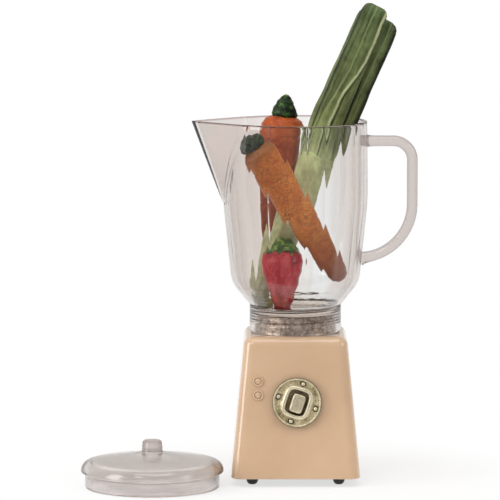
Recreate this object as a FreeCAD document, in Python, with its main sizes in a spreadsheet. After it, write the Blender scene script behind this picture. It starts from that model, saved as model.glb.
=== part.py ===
"""Toy blender for a doll's house: painted base with a turning dial, clear jug, lid and play food.

Frame: millimetres, +Z up, origin on the floor under the middle of the base.
The dial faces -Y, the spout points to -X and the handle to +X.
"""
import FreeCAD, Part
import math
import os
import Sketcher

Vec = FreeCAD.Vector
FIRST_BEND = 0.05  # radius a rounded corner is drawn with, before its own expression sets it
LEVEL_SLACK = 0.01  # height within which an edge counts as level
STEEP = 0.8  # share of its length that an upright edge climbs
FIRST_ANGLE = 10.0  # degrees a body or sketch is turned by, before its own expression sets it
FIRST_RING = 10.0  # radius of the ring that an outline's corners start from
FIRST_STEP = 3.0  # distance between the centres that circles start from

# Driving dimensions in millimetres (angles in degrees): name, value, meaning.
SIZES = (
    # housing: a hollow truncated pyramid
    ("stand_gap", 2.1, "air under the housing"),
    ("base_foot_width", 33.4, "housing across its bottom edge"),
    ("base_top_width", 26.5, "housing across its top, before rounding"),
    ("base_height", 36.5, "housing from bottom edge to flat top"),
    ("base_wall", 1.3, "housing wall, measured level"),
    ("base_roof", 1.6, "housing top plate"),
    ("base_corner", 2.8, "radius of the four upright edges"),
    ("base_shoulder", 2.6, "radius round the top"),
    ("base_hem", 0.35, "radius round the bottom edge"),
    # cover under the housing, its posts and screws
    ("cover_thickness", 1.3, "bottom cover"),
    ("cover_gap", 0.15, "air round the bottom cover"),
    ("cover_corner", 1.4, "corner radius of the bottom cover"),
    ("post_radius", 2.0, "screw post"),
    ("post_height", 6.0, "screw post above the cover"),
    ("post_inset", 3.0, "post axis from the housing's outer edge"),
    ("screw_radius", 0.7, "screw shank"),
    ("screw_reach", 4.4, "screw shank under its head"),
    ("head_radius", 1.3, "screw head"),
    ("head_height", 0.6, "screw head"),
    ("fit_gap", 0.05, "air round a shaft, a screw or a plugged-in edge"),
    ("bore_end", 0.3, "screw bore beyond the screw's point"),
    # feet
    ("foot_radius", 1.6, "rubber foot"),
    ("foot_inset", 5.5, "foot axis from the housing's outer edge, both ways"),
    ("foot_sink", 0.5, "depth of a foot in the cover"),
    ("foot_round", 0.7, "rounding of a foot's lower edge"),
    # spigot that the jug screws on to
    ("spigot_radius", 10.5, "spigot, over its thread"),
    ("spigot_height", 4.6, "spigot above the housing"),
    ("spigot_bevel", 0.5, "bevel at the spigot's top"),
    ("spigot_bolt_circle", 6.5, "screw axes from the middle of the spigot"),
    ("spigot_screw_reach", 3.6, "spigot screw shank under its head"),
    # dial
    ("dial_level", 21.9, "height of the dial's axis at the housing's face"),
    ("dial_across", 0.3, "dial's axis to the right of the middle"),
    ("dial_turned", 18.3, "how far the dial stands turned clockwise"),
    ("dial_radius", 6.4, "dial plate"),
    ("dial_thickness", 0.9, "dial plate, inside its rim"),
    ("dial_rim_width", 0.7, "raised rim of the dial"),
    ("dial_rim_height", 0.35, "raised rim of the dial"),
    ("dial_rim_round", 0.3, "rounding of the rim"),
    ("run_gap", 0.1, "air behind a part that turns"),
    ("stud_radius", 0.55, "ball-headed rivet"),
    ("stud_height", 0.45, "ball-headed rivet above the plate"),
    ("stud_round", 0.4, "rounding of its head"),
    ("stud_stem", 0.28, "radius of its stem"),
    ("stud_circle", 5.0, "rivet axes from the dial's axis"),
    ("boss_width", 7.8, "frame round the key, level"),
    ("boss_length", 8.6, "frame round the key, upright"),
    ("boss_height", 0.85, "frame round the key, above the plate"),
    ("boss_wall", 1.35, "frame round the key"),
    ("boss_corner", 1.8, "corner radius of the frame"),
    ("boss_round", 0.3, "rounding of the frame's edges"),
    ("moat_corner", 1.2, "corner radius inside the frame"),
    ("key_width", 3.7, "finger key, level"),
    ("key_length", 5.0, "finger key, upright"),
    ("key_height", 1.1, "finger key above the plate"),
    ("key_corner", 0.5, "corner radius of the key"),
    ("key_bevel", 0.25, "bevel round the key's top"),
    ("spindle_radius", 1.2, "spindle through the housing"),
    ("spindle_neck", 0.8, "spindle where the clip grips it"),
    ("clip_radius", 2.6, "clip on the spindle"),
    ("clip_thickness", 0.5, "clip on the spindle"),
    ("spindle_tail", 0.6, "spindle beyond the clip"),
    # two raised lamps moulded beside the dial
    ("lamp_offset", 9.7, "lamps to the left of the middle"),
    ("lamp_level", 23.75, "height of the lower lamp"),
    ("lamp_pitch", 3.6, "lower lamp to upper lamp"),
    ("lamp_radius", 1.35, "lamp's disc"),
    ("lamp_height", 0.3, "lamp's disc above the housing's face"),
    ("lamp_ring", 0.4, "width of the lamp's ring"),
    ("lamp_moat", 0.24, "depth of the groove inside the ring"),
    ("lamp_dome", 0.75, "radius of the lamp's dome"),
    # jug
    ("collar_height", 7.0, "collar under the jug"),
    ("collar_radius", 11.9, "collar, outside"),
    ("collar_wall", 1.1, "collar"),
    ("collar_round", 0.5, "rounding of the collar's lower edge"),
    ("jug_wall", 1.1, "jug wall"),
    ("jug_floor", 1.1, "jug floor"),
    ("jug_plug", 2.1, "depth of the jug's foot in the collar"),
    ("jug_sole_radius", 11.8, "jug where it meets the collar"),
    ("jug_floor_radius", 9.6, "jug floor, inside"),
    ("jug_hip_radius", 16.57, "jug at its hip, before rounding"),
    ("jug_hip_rise", 5.8, "hip above the collar"),
    ("jug_hip_bend", 8.0, "radius round the hip"),
    ("jug_hip_lift", 0.45, "inner hip above the outer one"),
    ("jug_waist_radius", 18.85, "jug at its widest"),
    ("jug_waist_rise", 27.5, "widest part above the collar"),
    ("jug_waist_bend", 60.0, "radius of the gentle bend there"),
    ("jug_rim_radius", 18.6, "jug at its rim"),
    ("jug_height", 47.8, "rim above the collar"),
    ("spout_reach", 27.0, "spout tip from the jug's axis"),
    ("spout_drop", 21.5, "spout tip to the spout's root"),
    ("spout_root_angle", 10.0, "half angle that the spout's root takes up on the bowl"),
    ("spout_bite", 5.0, "how far the spout's wedge reaches back into the bowl"),
    # handle
    ("handle_radius", 1.4, "clear rod of the handle"),
    ("handle_reach", 30.3, "grip from the jug's axis"),
    ("handle_top_rise", 42.6, "upper arm above the collar"),
    ("handle_top_bend", 5.0, "radius of the upper bend"),
    ("handle_heel_rise", 15.0, "lower bend's corner above the collar"),
    ("handle_foot_rise", 10.7, "rod's lower end above the collar"),
    ("handle_low_bend", 14.0, "radius of the lower bend"),
    # lid, laid on the floor in front of the spout
    ("lid_left", 37.0, "lid's axis to the left of the base"),
    ("lid_front", 15.0, "lid's axis in front of the base"),
    ("lid_wall", 1.0, "lid"),
    ("lid_skirt_radius", 17.35, "skirt that plugs into the jug"),
    ("lid_hem", 0.4, "rounding of the skirt's lower edge"),
    ("lid_lip_radius", 18.4, "lip that rests on the jug's rim"),
    ("lid_lip_level", 4.0, "underside of the lip"),
    ("lid_shoulder_level", 6.45, "height of the shoulder's corner, before rounding"),
    ("lid_shoulder_bend", 2.4, "radius of the shoulder"),
    ("lid_top_level", 9.0, "middle of the lid"),
    ("lid_top_radius", 3.0, "flat that carries the knob"),
    ("knob_radius", 2.75, "knob at its foot"),
    ("knob_top_radius", 2.45, "knob at its top"),
    ("knob_height", 3.2, "knob"),
    ("knob_round", 0.6, "rounding of the knob"),
    # play carrot that lies across the front of the jug, measured along its own axis
    ("near_carrot_across", 12.0, "its tip to the right of the jug's axis"),
    ("near_carrot_front", 6.6, "its axis in front of the jug's axis"),
    ("near_carrot_level", 52.7, "height of its tip"),
    ("near_carrot_lean", 33.0, "lean to the left"),
    ("near_carrot_length", 41.0, "root"),
    ("near_carrot_tip", 2.6, "radius near its tip"),
    ("near_carrot_waist", 4.0, "radius at its middle"),
    ("near_carrot_top", 4.6, "radius at its shoulder"),
    ("near_tuft_radius", 3.5, "leaf stub"),
    ("near_tuft_height", 3.7, "leaf stub"),
    # play carrot that stands at the back
    ("far_carrot_across", 6.6, "its tip to the left of the jug's axis"),
    ("far_carrot_back", 8.0, "its axis behind the jug's axis"),
    ("far_carrot_level", 61.2, "height of its tip"),
    ("far_carrot_lean", 6.4, "lean to the right"),
    ("far_carrot_length", 33.0, "root"),
    ("far_carrot_tip", 1.3, "radius near its tip"),
    ("far_carrot_waist", 5.0, "radius above its middle"),
    ("far_carrot_top", 5.8, "radius at its shoulder"),
    ("far_tuft_radius", 3.3, "leaf stub"),
    ("far_tuft_height", 5.8, "leaf stub"),
    ("root_round", 1.2, "rounding of a carrot's tip"),
    ("root_waist_share", 0.6, "waist, as a share of a carrot's length"),
    ("root_bend", 17.0, "radius of the gentle bend at the waist"),
    ("shoulder_round", 1.9, "rounding of a carrot's shoulder"),
    ("tuft_foot_share", 0.8, "foot of a leaf stub, as a share of its radius"),
    ("tuft_top_share", 0.5, "top of a leaf stub, as a share of its radius"),
    ("tuft_waist_share", 0.3, "widest part of a leaf stub, as a share of its height"),
    ("tuft_round", 0.9, "rounding of a leaf stub"),
    # play strawberry on the jug's floor, tip down
    ("berry_across", 3.3, "its axis to the left of the jug's axis"),
    ("berry_front", 7.3, "its axis in front of the jug's axis"),
    ("berry_tip_radius", 1.7, "tip"),
    ("berry_tip_round", 0.85, "rounding of the tip"),
    ("berry_radius", 5.6, "widest part"),
    ("berry_rise", 12.8, "height of the widest part"),
    ("berry_height", 16.2, "fruit"),
    ("berry_crown_radius", 3.7, "flat that carries the leaves"),
    ("berry_bend", 2.2, "rounding of the fruit's shoulder"),
    ("calyx_foot_radius", 3.3, "ring of leaves where it sits on the fruit"),
    ("calyx_radius", 4.3, "ring of leaves at its widest"),
    ("calyx_rise", 1.2, "height of the ring's widest part"),
    ("calyx_top_radius", 2.0, "ring of leaves at its top"),
    ("calyx_height", 3.2, "ring of leaves"),
    # play leek that leans in the jug and stands out of its mouth
    ("leek_across", 9.9, "its lower end to the left of the jug's axis"),
    ("leek_back", 2.5, "its axis behind the jug's axis"),
    ("leek_level", 47.4, "height of its lower end"),
    ("leek_lean", 23.4, "lean to the right"),
    ("leek_root_radius", 3.1, "lower end"),
    ("leek_stem_length", 39.5, "pale stem"),
    ("leek_stem_radius", 4.3, "top of the pale stem"),
    ("leek_stem_share", 0.4, "where the stem reaches that radius, as a share of its length"),
    ("leek_stem_bend", 17.0, "radius of the gentle bend there"),
    ("leek_leaf_length", 41.8, "longer leaf, in front"),
    ("leek_leaf_short", 2.0, "how much shorter the rear leaf is"),
    ("leek_leaf_flare", 10.0, "length over which the leaves widen"),
    ("leek_leaf_width", 11.8, "rear leaf"),
    ("leek_front_width", 7.4, "front leaf"),
    ("leek_front_start", 3.0, "front leaf's edge to the right of the axis, where it starts"),
    ("leek_front_shift", 0.8, "front leaf's left edge inside the rear leaf's"),
    ("leek_leaf_depth", 3.4, "each leaf, front to back"),
    ("leek_leaf_round", 1.6, "rounding of a leaf's edges"),
)


def size_sheet(doc):
    """Spreadsheet of the driving dimensions: column A the name, B the number, C the meaning."""
    sheet = doc.addObject("Spreadsheet::Sheet", "Dim")
    for row, (name, number, meaning) in enumerate(SIZES, 1):
        sheet.set("A%d" % row, name)
        sheet.set("B%d" % row, str(number))
        sheet.set("C%d" % row, meaning)
        sheet.setAlias("B%d" % row, name)
    doc.recompute()
    return sheet


doc = FreeCAD.newDocument("toy_blender")
dim = size_sheet(doc)
pieces = []

# Levels and distances that several pieces share, as expressions over the sheet.
BASE_TOP = "(Dim.stand_gap + Dim.base_height)"
LEAN = "atan((Dim.base_foot_width - Dim.base_top_width) / 2 / Dim.base_height)"
COVER_TOP = "(Dim.stand_gap + Dim.cover_thickness)"
FOOT_SPREAD = "(Dim.base_foot_width / 2 - Dim.foot_inset)"
NECK = "(Dim.stand_gap + Dim.base_height + Dim.collar_height)"


def face_depth(level):
    """Distance of the housing's front face from the middle plane at a height above the floor."""
    slope = "(Dim.base_foot_width - Dim.base_top_width) / 2 / Dim.base_height"
    return "(Dim.base_foot_width / 2 - (%s - Dim.stand_gap) * %s)" % (level, slope)


def new_body(name):
    """A named sub-part made of PartDesign features."""
    body = doc.addObject("PartDesign::Body", name)
    body.Label = name
    pieces.append(body)
    return body


def place(body, x="0", y="0", z="0", axis=None, angle="0"):
    """Stand a body in the blender's frame, turned about one axis through its own origin."""
    if axis:
        body.Placement = FreeCAD.Placement(Vec(), FreeCAD.Rotation(Vec(*axis), FIRST_ANGLE))
        body.setExpression("Placement.Rotation.Angle", angle)
    body.setExpression("Placement.Base.x", x)
    body.setExpression("Placement.Base.y", y)
    body.setExpression("Placement.Base.z", z)


def blank_sketch(body, name, plane, lift, spin=None):
    """Empty sketch on one of the body's own origin planes, lifted off it and turned in it."""
    sketch = body.newObject("Sketcher::SketchObject", name)
    support = [feature for feature in body.Origin.OriginFeatures if feature.Role == plane][0]
    sketch.AttachmentSupport = [(support, "")]
    sketch.MapMode = "FlatFace"
    if spin:
        turned = FreeCAD.Rotation(Vec(0, 0, -1), FIRST_ANGLE)
        sketch.AttachmentOffset = FreeCAD.Placement(Vec(), turned)
        sketch.setExpression("AttachmentOffset.Rotation.Angle", spin)
    sketch.setExpression("AttachmentOffset.Base.z", lift)
    return sketch


def pin_point(sketch, geometry, point, x, y):
    """Hold one point of the sketch at x and y from the sketch's origin."""
    place_now = sketch.getPoint(geometry, point)
    for kind, now, text in (("DistanceX", place_now.x, x), ("DistanceY", place_now.y, y)):
        index = sketch.addConstraint(Sketcher.Constraint(kind, -1, 1, geometry, point, now))
        sketch.setExpression("Constraints[%d]" % index, text)


def outline(body, name, plane, corners, lift="0", bends=None, closed=True, spin=None):
    """Sketch of straight lines through corners; bends gives corner numbers their radius."""
    sketch = blank_sketch(body, name, plane, lift, spin)
    count = len(corners)
    spots = []
    for number in range(count):
        turn = 2 * math.pi * number / count
        spots.append(Vec(FIRST_RING * math.cos(turn), FIRST_RING * math.sin(turn), 0))
    lines = count if closed else count - 1
    for number in range(lines):
        line = Part.LineSegment(spots[number], spots[(number + 1) % count])
        sketch.addGeometry(line, False)
    for number in range(1, lines):
        sketch.addConstraint(Sketcher.Constraint("Coincident", number - 1, 2, number, 1))
    if closed:
        sketch.addConstraint(Sketcher.Constraint("Coincident", lines - 1, 2, 0, 1))
    for number, (x, y) in enumerate(corners):
        if number < lines:
            pin_point(sketch, number, 1, x, y)
        else:
            pin_point(sketch, number - 1, 2, x, y)
    doc.recompute()
    for number, radius in (bends or {}).items():
        sketch.fillet((number - 1) % count, 2, FIRST_BEND, True, True)
        arc = sketch.GeometryCount - 2
        index = sketch.addConstraint(Sketcher.Constraint("Radius", arc, FIRST_BEND))
        sketch.setExpression("Constraints[%d]" % index, radius)
        doc.recompute()
    return sketch


def circles(body, name, plane, rounds, lift="0"):
    """Sketch of circles, each given as centre x, centre y and radius."""
    sketch = blank_sketch(body, name, plane, lift)
    for number, (x, y, radius) in enumerate(rounds):
        circle = Part.Circle(Vec(FIRST_STEP * number, 0, 0), Vec(0, 0, 1), 1)
        sketch.addGeometry(circle, False)
        pin_point(sketch, number, 3, x, y)
        index = sketch.addConstraint(Sketcher.Constraint("Radius", number, 1))
        sketch.setExpression("Constraints[%d]" % index, radius)
    return sketch


def rectangle(width, depth):
    """Corners of a centred rectangle, width and depth given as expressions."""
    across = "(%s) / 2" % width
    along = "(%s) / 2" % depth
    return (("-" + across, "-" + along), (across, "-" + along), (across, along), ("-" + across, along))


def add(body, kind, name, profile, **settings):
    """PartDesign feature on a profile; settings are values, or expressions where they are text."""
    feature = body.newObject("PartDesign::" + kind, name)
    feature.Profile = profile
    for key, setting in settings.items():
        if isinstance(setting, str) and "Dim." in setting:
            feature.setExpression(key, setting)
        else:
            setattr(feature, key, setting)
    return feature


def spin_round(body, kind, name, profile):
    """Full turn of a profile about the body's own Z axis."""
    return add(body, kind, name, profile, ReferenceAxis=(profile, ["V_Axis"]), Angle=360.0)


def dress(body, kind, name, choose, size):
    """Fillet or chamfer on the edges of the latest shape for which choose says yes."""
    doc.recompute()
    base = body.Tip
    names = ["Edge%d" % (number + 1) for number, edge in enumerate(base.Shape.Edges) if choose(edge)]
    feature = body.newObject("PartDesign::" + kind, name)
    feature.Base = (base, names)
    feature.setExpression("Radius" if kind == "Fillet" else "Size", size)
    return feature


def level_edge(level):
    """Chooser for the edges that lie level at a height."""
    def choose(edge):
        box = edge.BoundBox
        return abs(box.ZMin - level) < LEVEL_SLACK and abs(box.ZMax - level) < LEVEL_SLACK
    return choose


def upright_edge(edge):
    """Chooser for straight edges that climb."""
    return edge.BoundBox.ZLength > STEEP * edge.Length


# %% housing

def base_housing():
    """Cast shell, open below, with two lamps on its face and a hole for the dial's spindle."""
    body = new_body("base_housing")
    foot = outline(body, "foot_outline", "XY_Plane",
                   rectangle("Dim.base_foot_width", "Dim.base_foot_width"), "Dim.stand_gap")
    add(body, "Pad", "block", foot, Length="Dim.base_height", TaperAngle="-1 * " + LEAN)
    dress(body, "Fillet", "upright_edges", upright_edge, "Dim.base_corner")
    base_top = dim.stand_gap + dim.base_height
    dress(body, "Fillet", "shoulder", level_edge(base_top), "Dim.base_shoulder")
    dress(body, "Fillet", "hem", level_edge(dim.stand_gap), "Dim.base_hem")
    inner_foot = "Dim.base_foot_width - 2 * Dim.base_wall"
    hollow = outline(body, "hollow_outline", "XY_Plane", rectangle(inner_foot, inner_foot),
                     "Dim.stand_gap")
    add(body, "Pocket", "hollow", hollow, Length="Dim.base_height - Dim.base_roof",
        TaperAngle="-1 * " + LEAN, Reversed=True)
    posts = circles(body, "post_circles", "XY_Plane", screw_spots("Dim.post_radius"), COVER_TOP)
    add(body, "Pad", "posts", posts, Length="Dim.post_height")
    bores = circles(body, "screw_circles", "XY_Plane", screw_spots("Dim.screw_radius + Dim.fit_gap"),
                    COVER_TOP)
    add(body, "Pocket", "screw_bores", bores, Reversed=True,
        Length="Dim.screw_reach - Dim.cover_thickness + Dim.head_height + Dim.bore_end")
    bolts = circles(body, "spigot_screw_circles", "XY_Plane",
                    spigot_spots("Dim.screw_radius + Dim.fit_gap"), BASE_TOP)
    add(body, "Pocket", "spigot_screw_holes", bolts, Length="2 * Dim.base_roof")
    hole = circles(body, "spindle_circle", "XZ_Plane", [("0", "0", "Dim.spindle_radius + Dim.fit_gap")])
    on_face(hole, "Dim.dial_across", "Dim.dial_level")
    add(body, "Pocket", "spindle_hole", hole, Length="2 * Dim.base_wall")
    for number, name in enumerate(("lower", "upper")):
        level = "(Dim.lamp_level + %d * Dim.lamp_pitch)" % number
        disc = circles(body, name + "_lamp_disc", "XZ_Plane", [("0", "0", "Dim.lamp_radius")])
        on_face(disc, "-Dim.lamp_offset", level)
        add(body, "Pad", name + "_lamp", disc, Length="Dim.lamp_height")
        moat = circles(body, name + "_lamp_moat", "XZ_Plane",
                       [("0", "0", "Dim.lamp_radius - Dim.lamp_ring"), ("0", "0", "Dim.lamp_dome")])
        on_face(moat, "-Dim.lamp_offset", level, "Dim.lamp_height")
        add(body, "Pocket", name + "_lamp_ring", moat, Length="Dim.lamp_moat")


def screw_spots(radius):
    """Circles at the four cover screws."""
    across = "Dim.base_foot_width / 2 - Dim.post_inset"
    return [(across, "0", radius), ("-(%s)" % across, "0", radius),
            ("0", across, radius), ("0", "-(%s)" % across, radius)]


def spigot_spots(radius):
    """Circles at the three screws that hold the spigot."""
    spots = []
    for turn in (90, 210, 330):
        spots.append(("Dim.spigot_bolt_circle * cos(%d)" % turn,
                      "Dim.spigot_bolt_circle * sin(%d)" % turn, radius))
    return spots


def on_face(sketch, x, level, proud="0"):
    """Lay a sketch of the XZ plane on the housing's leaning front face, at x and a height."""
    leaned = FreeCAD.Rotation(Vec(-1, 0, 0), FIRST_ANGLE)
    sketch.AttachmentOffset = FreeCAD.Placement(Vec(), leaned)
    sketch.setExpression("AttachmentOffset.Rotation.Angle", LEAN)
    sketch.setExpression("AttachmentOffset.Base.x", x)
    sketch.setExpression("AttachmentOffset.Base.y", "%s + %s * sin(%s)" % (level, proud, LEAN))
    sketch.setExpression("AttachmentOffset.Base.z",
                         "%s + %s * cos(%s)" % (face_depth(level), proud, LEAN))


def base_cover():
    """Plate inside the housing's lower edge, with sunk screws and seats for the feet."""
    body = new_body("base_cover")
    width = "Dim.base_foot_width - 2 * (Dim.base_wall + Dim.cover_gap)"
    taper = "2 * Dim.cover_thickness * tan(%s)" % LEAN
    plate = outline(body, "plate_outline", "XY_Plane",
                    rectangle(width + " - " + taper, width + " - " + taper), "Dim.stand_gap")
    add(body, "Pad", "plate", plate, Length="Dim.cover_thickness")
    dress(body, "Fillet", "corners", upright_edge, "Dim.cover_corner")
    holes = circles(body, "screw_circles", "XY_Plane", screw_spots("Dim.screw_radius + Dim.fit_gap"),
                    "Dim.stand_gap")
    add(body, "Pocket", "screw_holes", holes, Length="Dim.cover_thickness", Reversed=True)
    sinks = circles(body, "head_circles", "XY_Plane", screw_spots("Dim.head_radius + Dim.fit_gap"),
                    "Dim.stand_gap")
    add(body, "Pocket", "head_sinks", sinks, Length="Dim.head_height", Reversed=True)
    seats = circles(body, "foot_circles", "XY_Plane",
                    [(x + FOOT_SPREAD, y + FOOT_SPREAD, "Dim.foot_radius + Dim.fit_gap")
                     for x in ("", "-") for y in ("", "-")], "Dim.stand_gap")
    add(body, "Pocket", "foot_seats", seats, Length="Dim.foot_sink", Reversed=True)


def cover_screws():
    """Four pan-head screws, up through the cover into the posts."""
    body = new_body("cover_screws")
    heads = circles(body, "heads_outline", "XY_Plane", screw_spots("Dim.head_radius"), "Dim.stand_gap")
    add(body, "Pad", "heads", heads, Length="Dim.head_height")
    shanks = circles(body, "shanks_outline", "XY_Plane", screw_spots("Dim.screw_radius"),
                     "Dim.stand_gap + Dim.head_height")
    add(body, "Pad", "shanks", shanks, Length="Dim.screw_reach")


def feet():
    """Four rubber domes, flat where they meet the floor."""
    top = "Dim.stand_gap + Dim.foot_sink"
    for name, x, y in (("foot_front_left", "-", "-"), ("foot_front_right", "", "-"),
                       ("foot_rear_left", "-", ""), ("foot_rear_right", "", "")):
        body = new_body(name)
        profile = outline(body, "profile", "XZ_Plane",
                          (("0", "0"), ("Dim.foot_radius", "0"), ("Dim.foot_radius", top), ("0", top)),
                          bends={1: "Dim.foot_round"})
        spin_round(body, "Revolution", "dome", profile)
        place(body, x + FOOT_SPREAD, y + FOOT_SPREAD)


def spigot():
    """Metal boss on the housing's top that the jug's collar screws on to."""
    body = new_body("spigot")
    profile = outline(body, "profile", "XZ_Plane",
                      (("0", "0"), ("Dim.spigot_radius", "0"),
                       ("Dim.spigot_radius", "Dim.spigot_height - Dim.spigot_bevel"),
                       ("Dim.spigot_radius - Dim.spigot_bevel", "Dim.spigot_height"),
                       ("0", "Dim.spigot_height")))
    spin_round(body, "Revolution", "boss", profile)
    bores = circles(body, "screw_circles", "XY_Plane", spigot_spots("Dim.screw_radius + Dim.fit_gap"))
    add(body, "Pocket", "screw_bores", bores, Reversed=True,
        Length="Dim.spigot_screw_reach - Dim.base_roof + Dim.bore_end")
    place(body, z=BASE_TOP)


def spigot_screws():
    """Three pan-head screws that hold the spigot from inside the housing."""
    body = new_body("spigot_screws")
    under = BASE_TOP + " - Dim.base_roof"
    heads = circles(body, "heads_outline", "XY_Plane", spigot_spots("Dim.head_radius"),
                    under + " - Dim.head_height")
    add(body, "Pad", "heads", heads, Length="Dim.head_height")
    shanks = circles(body, "shanks_outline", "XY_Plane", spigot_spots("Dim.screw_radius"), under)
    add(body, "Pad", "shanks", shanks, Length="Dim.spigot_screw_reach")


# %% dial: built flat with its axis along Z, then laid on the housing's face

def dial_place(body):
    """Put a dial piece on the housing's face; its own Z becomes the dial's axis."""
    place(body, "Dim.dial_across", "-1 * " + face_depth("Dim.dial_level"), "Dim.dial_level",
          (1, 0, 0), "90 deg - " + LEAN)


def dial_plate():
    """Round cast plate with a raised rim and a frame round the key."""
    body = new_body("dial_plate")
    face = "Dim.run_gap + Dim.dial_thickness"
    rim_top = face + " + Dim.dial_rim_height"
    rim_inside = "Dim.dial_radius - Dim.dial_rim_width"
    profile = outline(body, "profile", "XZ_Plane",
                      (("0", "Dim.run_gap"), ("Dim.dial_radius", "Dim.run_gap"),
                       ("Dim.dial_radius", rim_top), (rim_inside, rim_top), (rim_inside, face),
                       ("0", face)),
                      bends={2: "Dim.dial_rim_round", 3: "Dim.dial_rim_round"})
    spin_round(body, "Revolution", "disc", profile)
    outer = outline(body, "frame_outline", "XY_Plane",
                    rectangle("Dim.boss_width", "Dim.boss_length"), face,
                    bends=dict.fromkeys(range(4), "Dim.boss_corner"), spin="Dim.dial_turned")
    add(body, "Pad", "frame", outer, Length="Dim.boss_height")
    frame_top = dim.run_gap + dim.dial_thickness + dim.boss_height
    dress(body, "Fillet", "frame_edge", level_edge(frame_top), "Dim.boss_round")
    inner = outline(body, "moat_outline", "XY_Plane",
                    rectangle("Dim.boss_width - 2 * Dim.boss_wall",
                              "Dim.boss_length - 2 * Dim.boss_wall"), face,
                    bends=dict.fromkeys(range(4), "Dim.moat_corner"),
                    spin="Dim.dial_turned")
    add(body, "Pocket", "moat", inner, Length="Dim.boss_height", Reversed=True)
    bore = circles(body, "spindle_circle", "XY_Plane",
                   [("0", "0", "Dim.spindle_neck + Dim.fit_gap")], "Dim.run_gap")
    add(body, "Pocket", "spindle_bore", bore, Length="Dim.dial_thickness", Reversed=True)
    rivets = circles(body, "rivet_circles", "XY_Plane", rivet_spots("Dim.stud_stem + Dim.fit_gap"), face)
    add(body, "Pocket", "rivet_holes", rivets, Length="Dim.dial_thickness")
    dial_place(body)


def rivet_spots(radius):
    """Circles at the four rivets, turned with the dial."""
    return [("Dim.stud_circle * cos(%d - Dim.dial_turned)" % turn,
             "Dim.stud_circle * sin(%d - Dim.dial_turned)" % turn, radius)
            for turn in (0, 90, 180, 270)]


def dial_rivets():
    """Four ball-headed rivets in the plate, as a group of separate solids."""
    body = new_body("dial_rivets")
    face = "Dim.run_gap + Dim.dial_thickness"
    stems = circles(body, "stems_outline", "XY_Plane", rivet_spots("Dim.stud_stem"), face)
    add(body, "Pad", "stems", stems, Length="Dim.dial_thickness", Reversed=True)
    heads = circles(body, "heads_outline", "XY_Plane", rivet_spots("Dim.stud_radius"), face)
    add(body, "Pad", "heads", heads, Length="Dim.stud_height")
    head_top = dim.run_gap + dim.dial_thickness + dim.stud_height
    dress(body, "Fillet", "domes", level_edge(head_top), "Dim.stud_round")
    dial_place(body)


def dial_key():
    """Finger key in the middle of the dial, a block with softened edges."""
    body = new_body("dial_key")
    face = "Dim.run_gap + Dim.dial_thickness"
    block = outline(body, "block_outline", "XY_Plane", rectangle("Dim.key_width", "Dim.key_length"),
                    face, bends=dict.fromkeys(range(4), "Dim.key_corner"), spin="Dim.dial_turned")
    add(body, "Pad", "block", block, Length="Dim.key_height")
    key_top = dim.run_gap + dim.dial_thickness + dim.key_height
    dress(body, "Chamfer", "edge", level_edge(key_top), "Dim.key_bevel")
    dial_place(body)


def dial_spindle():
    """Stepped shaft: neck in the plate, journal in the housing, neck for the clip, end knob."""
    body = new_body("dial_spindle")
    inside = "-(Dim.base_wall * cos(%s) + Dim.run_gap)" % LEAN
    far_clip = inside + " - Dim.clip_thickness"
    end = far_clip + " - Dim.spindle_tail"
    plate_top = "Dim.run_gap + Dim.dial_thickness"
    profile = outline(body, "profile", "XZ_Plane",
                      (("0", end), ("Dim.spindle_radius", end), ("Dim.spindle_radius", far_clip),
                       ("Dim.spindle_neck", far_clip), ("Dim.spindle_neck", inside),
                       ("Dim.spindle_radius", inside), ("Dim.spindle_radius", "Dim.run_gap"),
                       ("Dim.spindle_neck", "Dim.run_gap"), ("Dim.spindle_neck", plate_top),
                       ("0", plate_top)))
    spin_round(body, "Revolution", "shaft", profile)
    dial_place(body)


def dial_clip():
    """Ring clipped round the spindle's neck inside the housing."""
    body = new_body("dial_clip")
    inside = "-(Dim.base_wall * cos(%s) + Dim.run_gap)" % LEAN
    ring = circles(body, "ring_outline", "XY_Plane",
                   [("0", "0", "Dim.clip_radius"), ("0", "0", "Dim.spindle_neck + Dim.fit_gap")], inside)
    add(body, "Pad", "ring", ring, Length="Dim.clip_thickness", Reversed=True)
    dial_place(body)


# %% jug

def jug_bowl():
    """Clear bowl: a turned wall with a foot that plugs into the collar, and a pouring spout."""
    body = new_body("jug_bowl")
    plug = "(Dim.collar_radius - Dim.collar_wall - Dim.fit_gap)"
    floor = "Dim.jug_floor - Dim.jug_plug"
    outer = outline(body, "outer_profile", "XZ_Plane",
                    (("0", "-Dim.jug_plug"), (plug, "-Dim.jug_plug"), (plug, "0"),
                     ("Dim.jug_sole_radius", "0"), ("Dim.jug_hip_radius", "Dim.jug_hip_rise"),
                     ("Dim.jug_waist_radius", "Dim.jug_waist_rise"),
                     ("Dim.jug_rim_radius", "Dim.jug_height"), ("0", "Dim.jug_height")),
                    bends={4: "Dim.jug_hip_bend", 5: "Dim.jug_waist_bend"})
    spin_round(body, "Revolution", "outside", outer)
    add(body, "AdditiveLoft", "spout", spout_outline(body, "spout_root", "outer", True),
        Sections=[spout_outline(body, "spout_mouth", "outer", False)], Ruled=True)
    inner = outline(body, "inner_profile", "XZ_Plane",
                    (("0", floor), ("Dim.jug_floor_radius", floor),
                     ("Dim.jug_hip_radius - Dim.jug_wall", "Dim.jug_hip_rise + Dim.jug_hip_lift"),
                     ("Dim.jug_waist_radius - Dim.jug_wall", "Dim.jug_waist_rise"),
                     ("Dim.jug_rim_radius - Dim.jug_wall", "Dim.jug_height"), ("0", "Dim.jug_height")),
                    bends={2: "Dim.jug_hip_bend - Dim.jug_wall",
                           3: "Dim.jug_waist_bend - Dim.jug_wall"})
    spin_round(body, "Groove", "inside", inner)
    add(body, "SubtractiveLoft", "spout_channel", spout_outline(body, "channel_root", "inner", True),
        Sections=[spout_outline(body, "channel_mouth", "inner", False)], Ruled=True)
    place(body, z=NECK)


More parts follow.
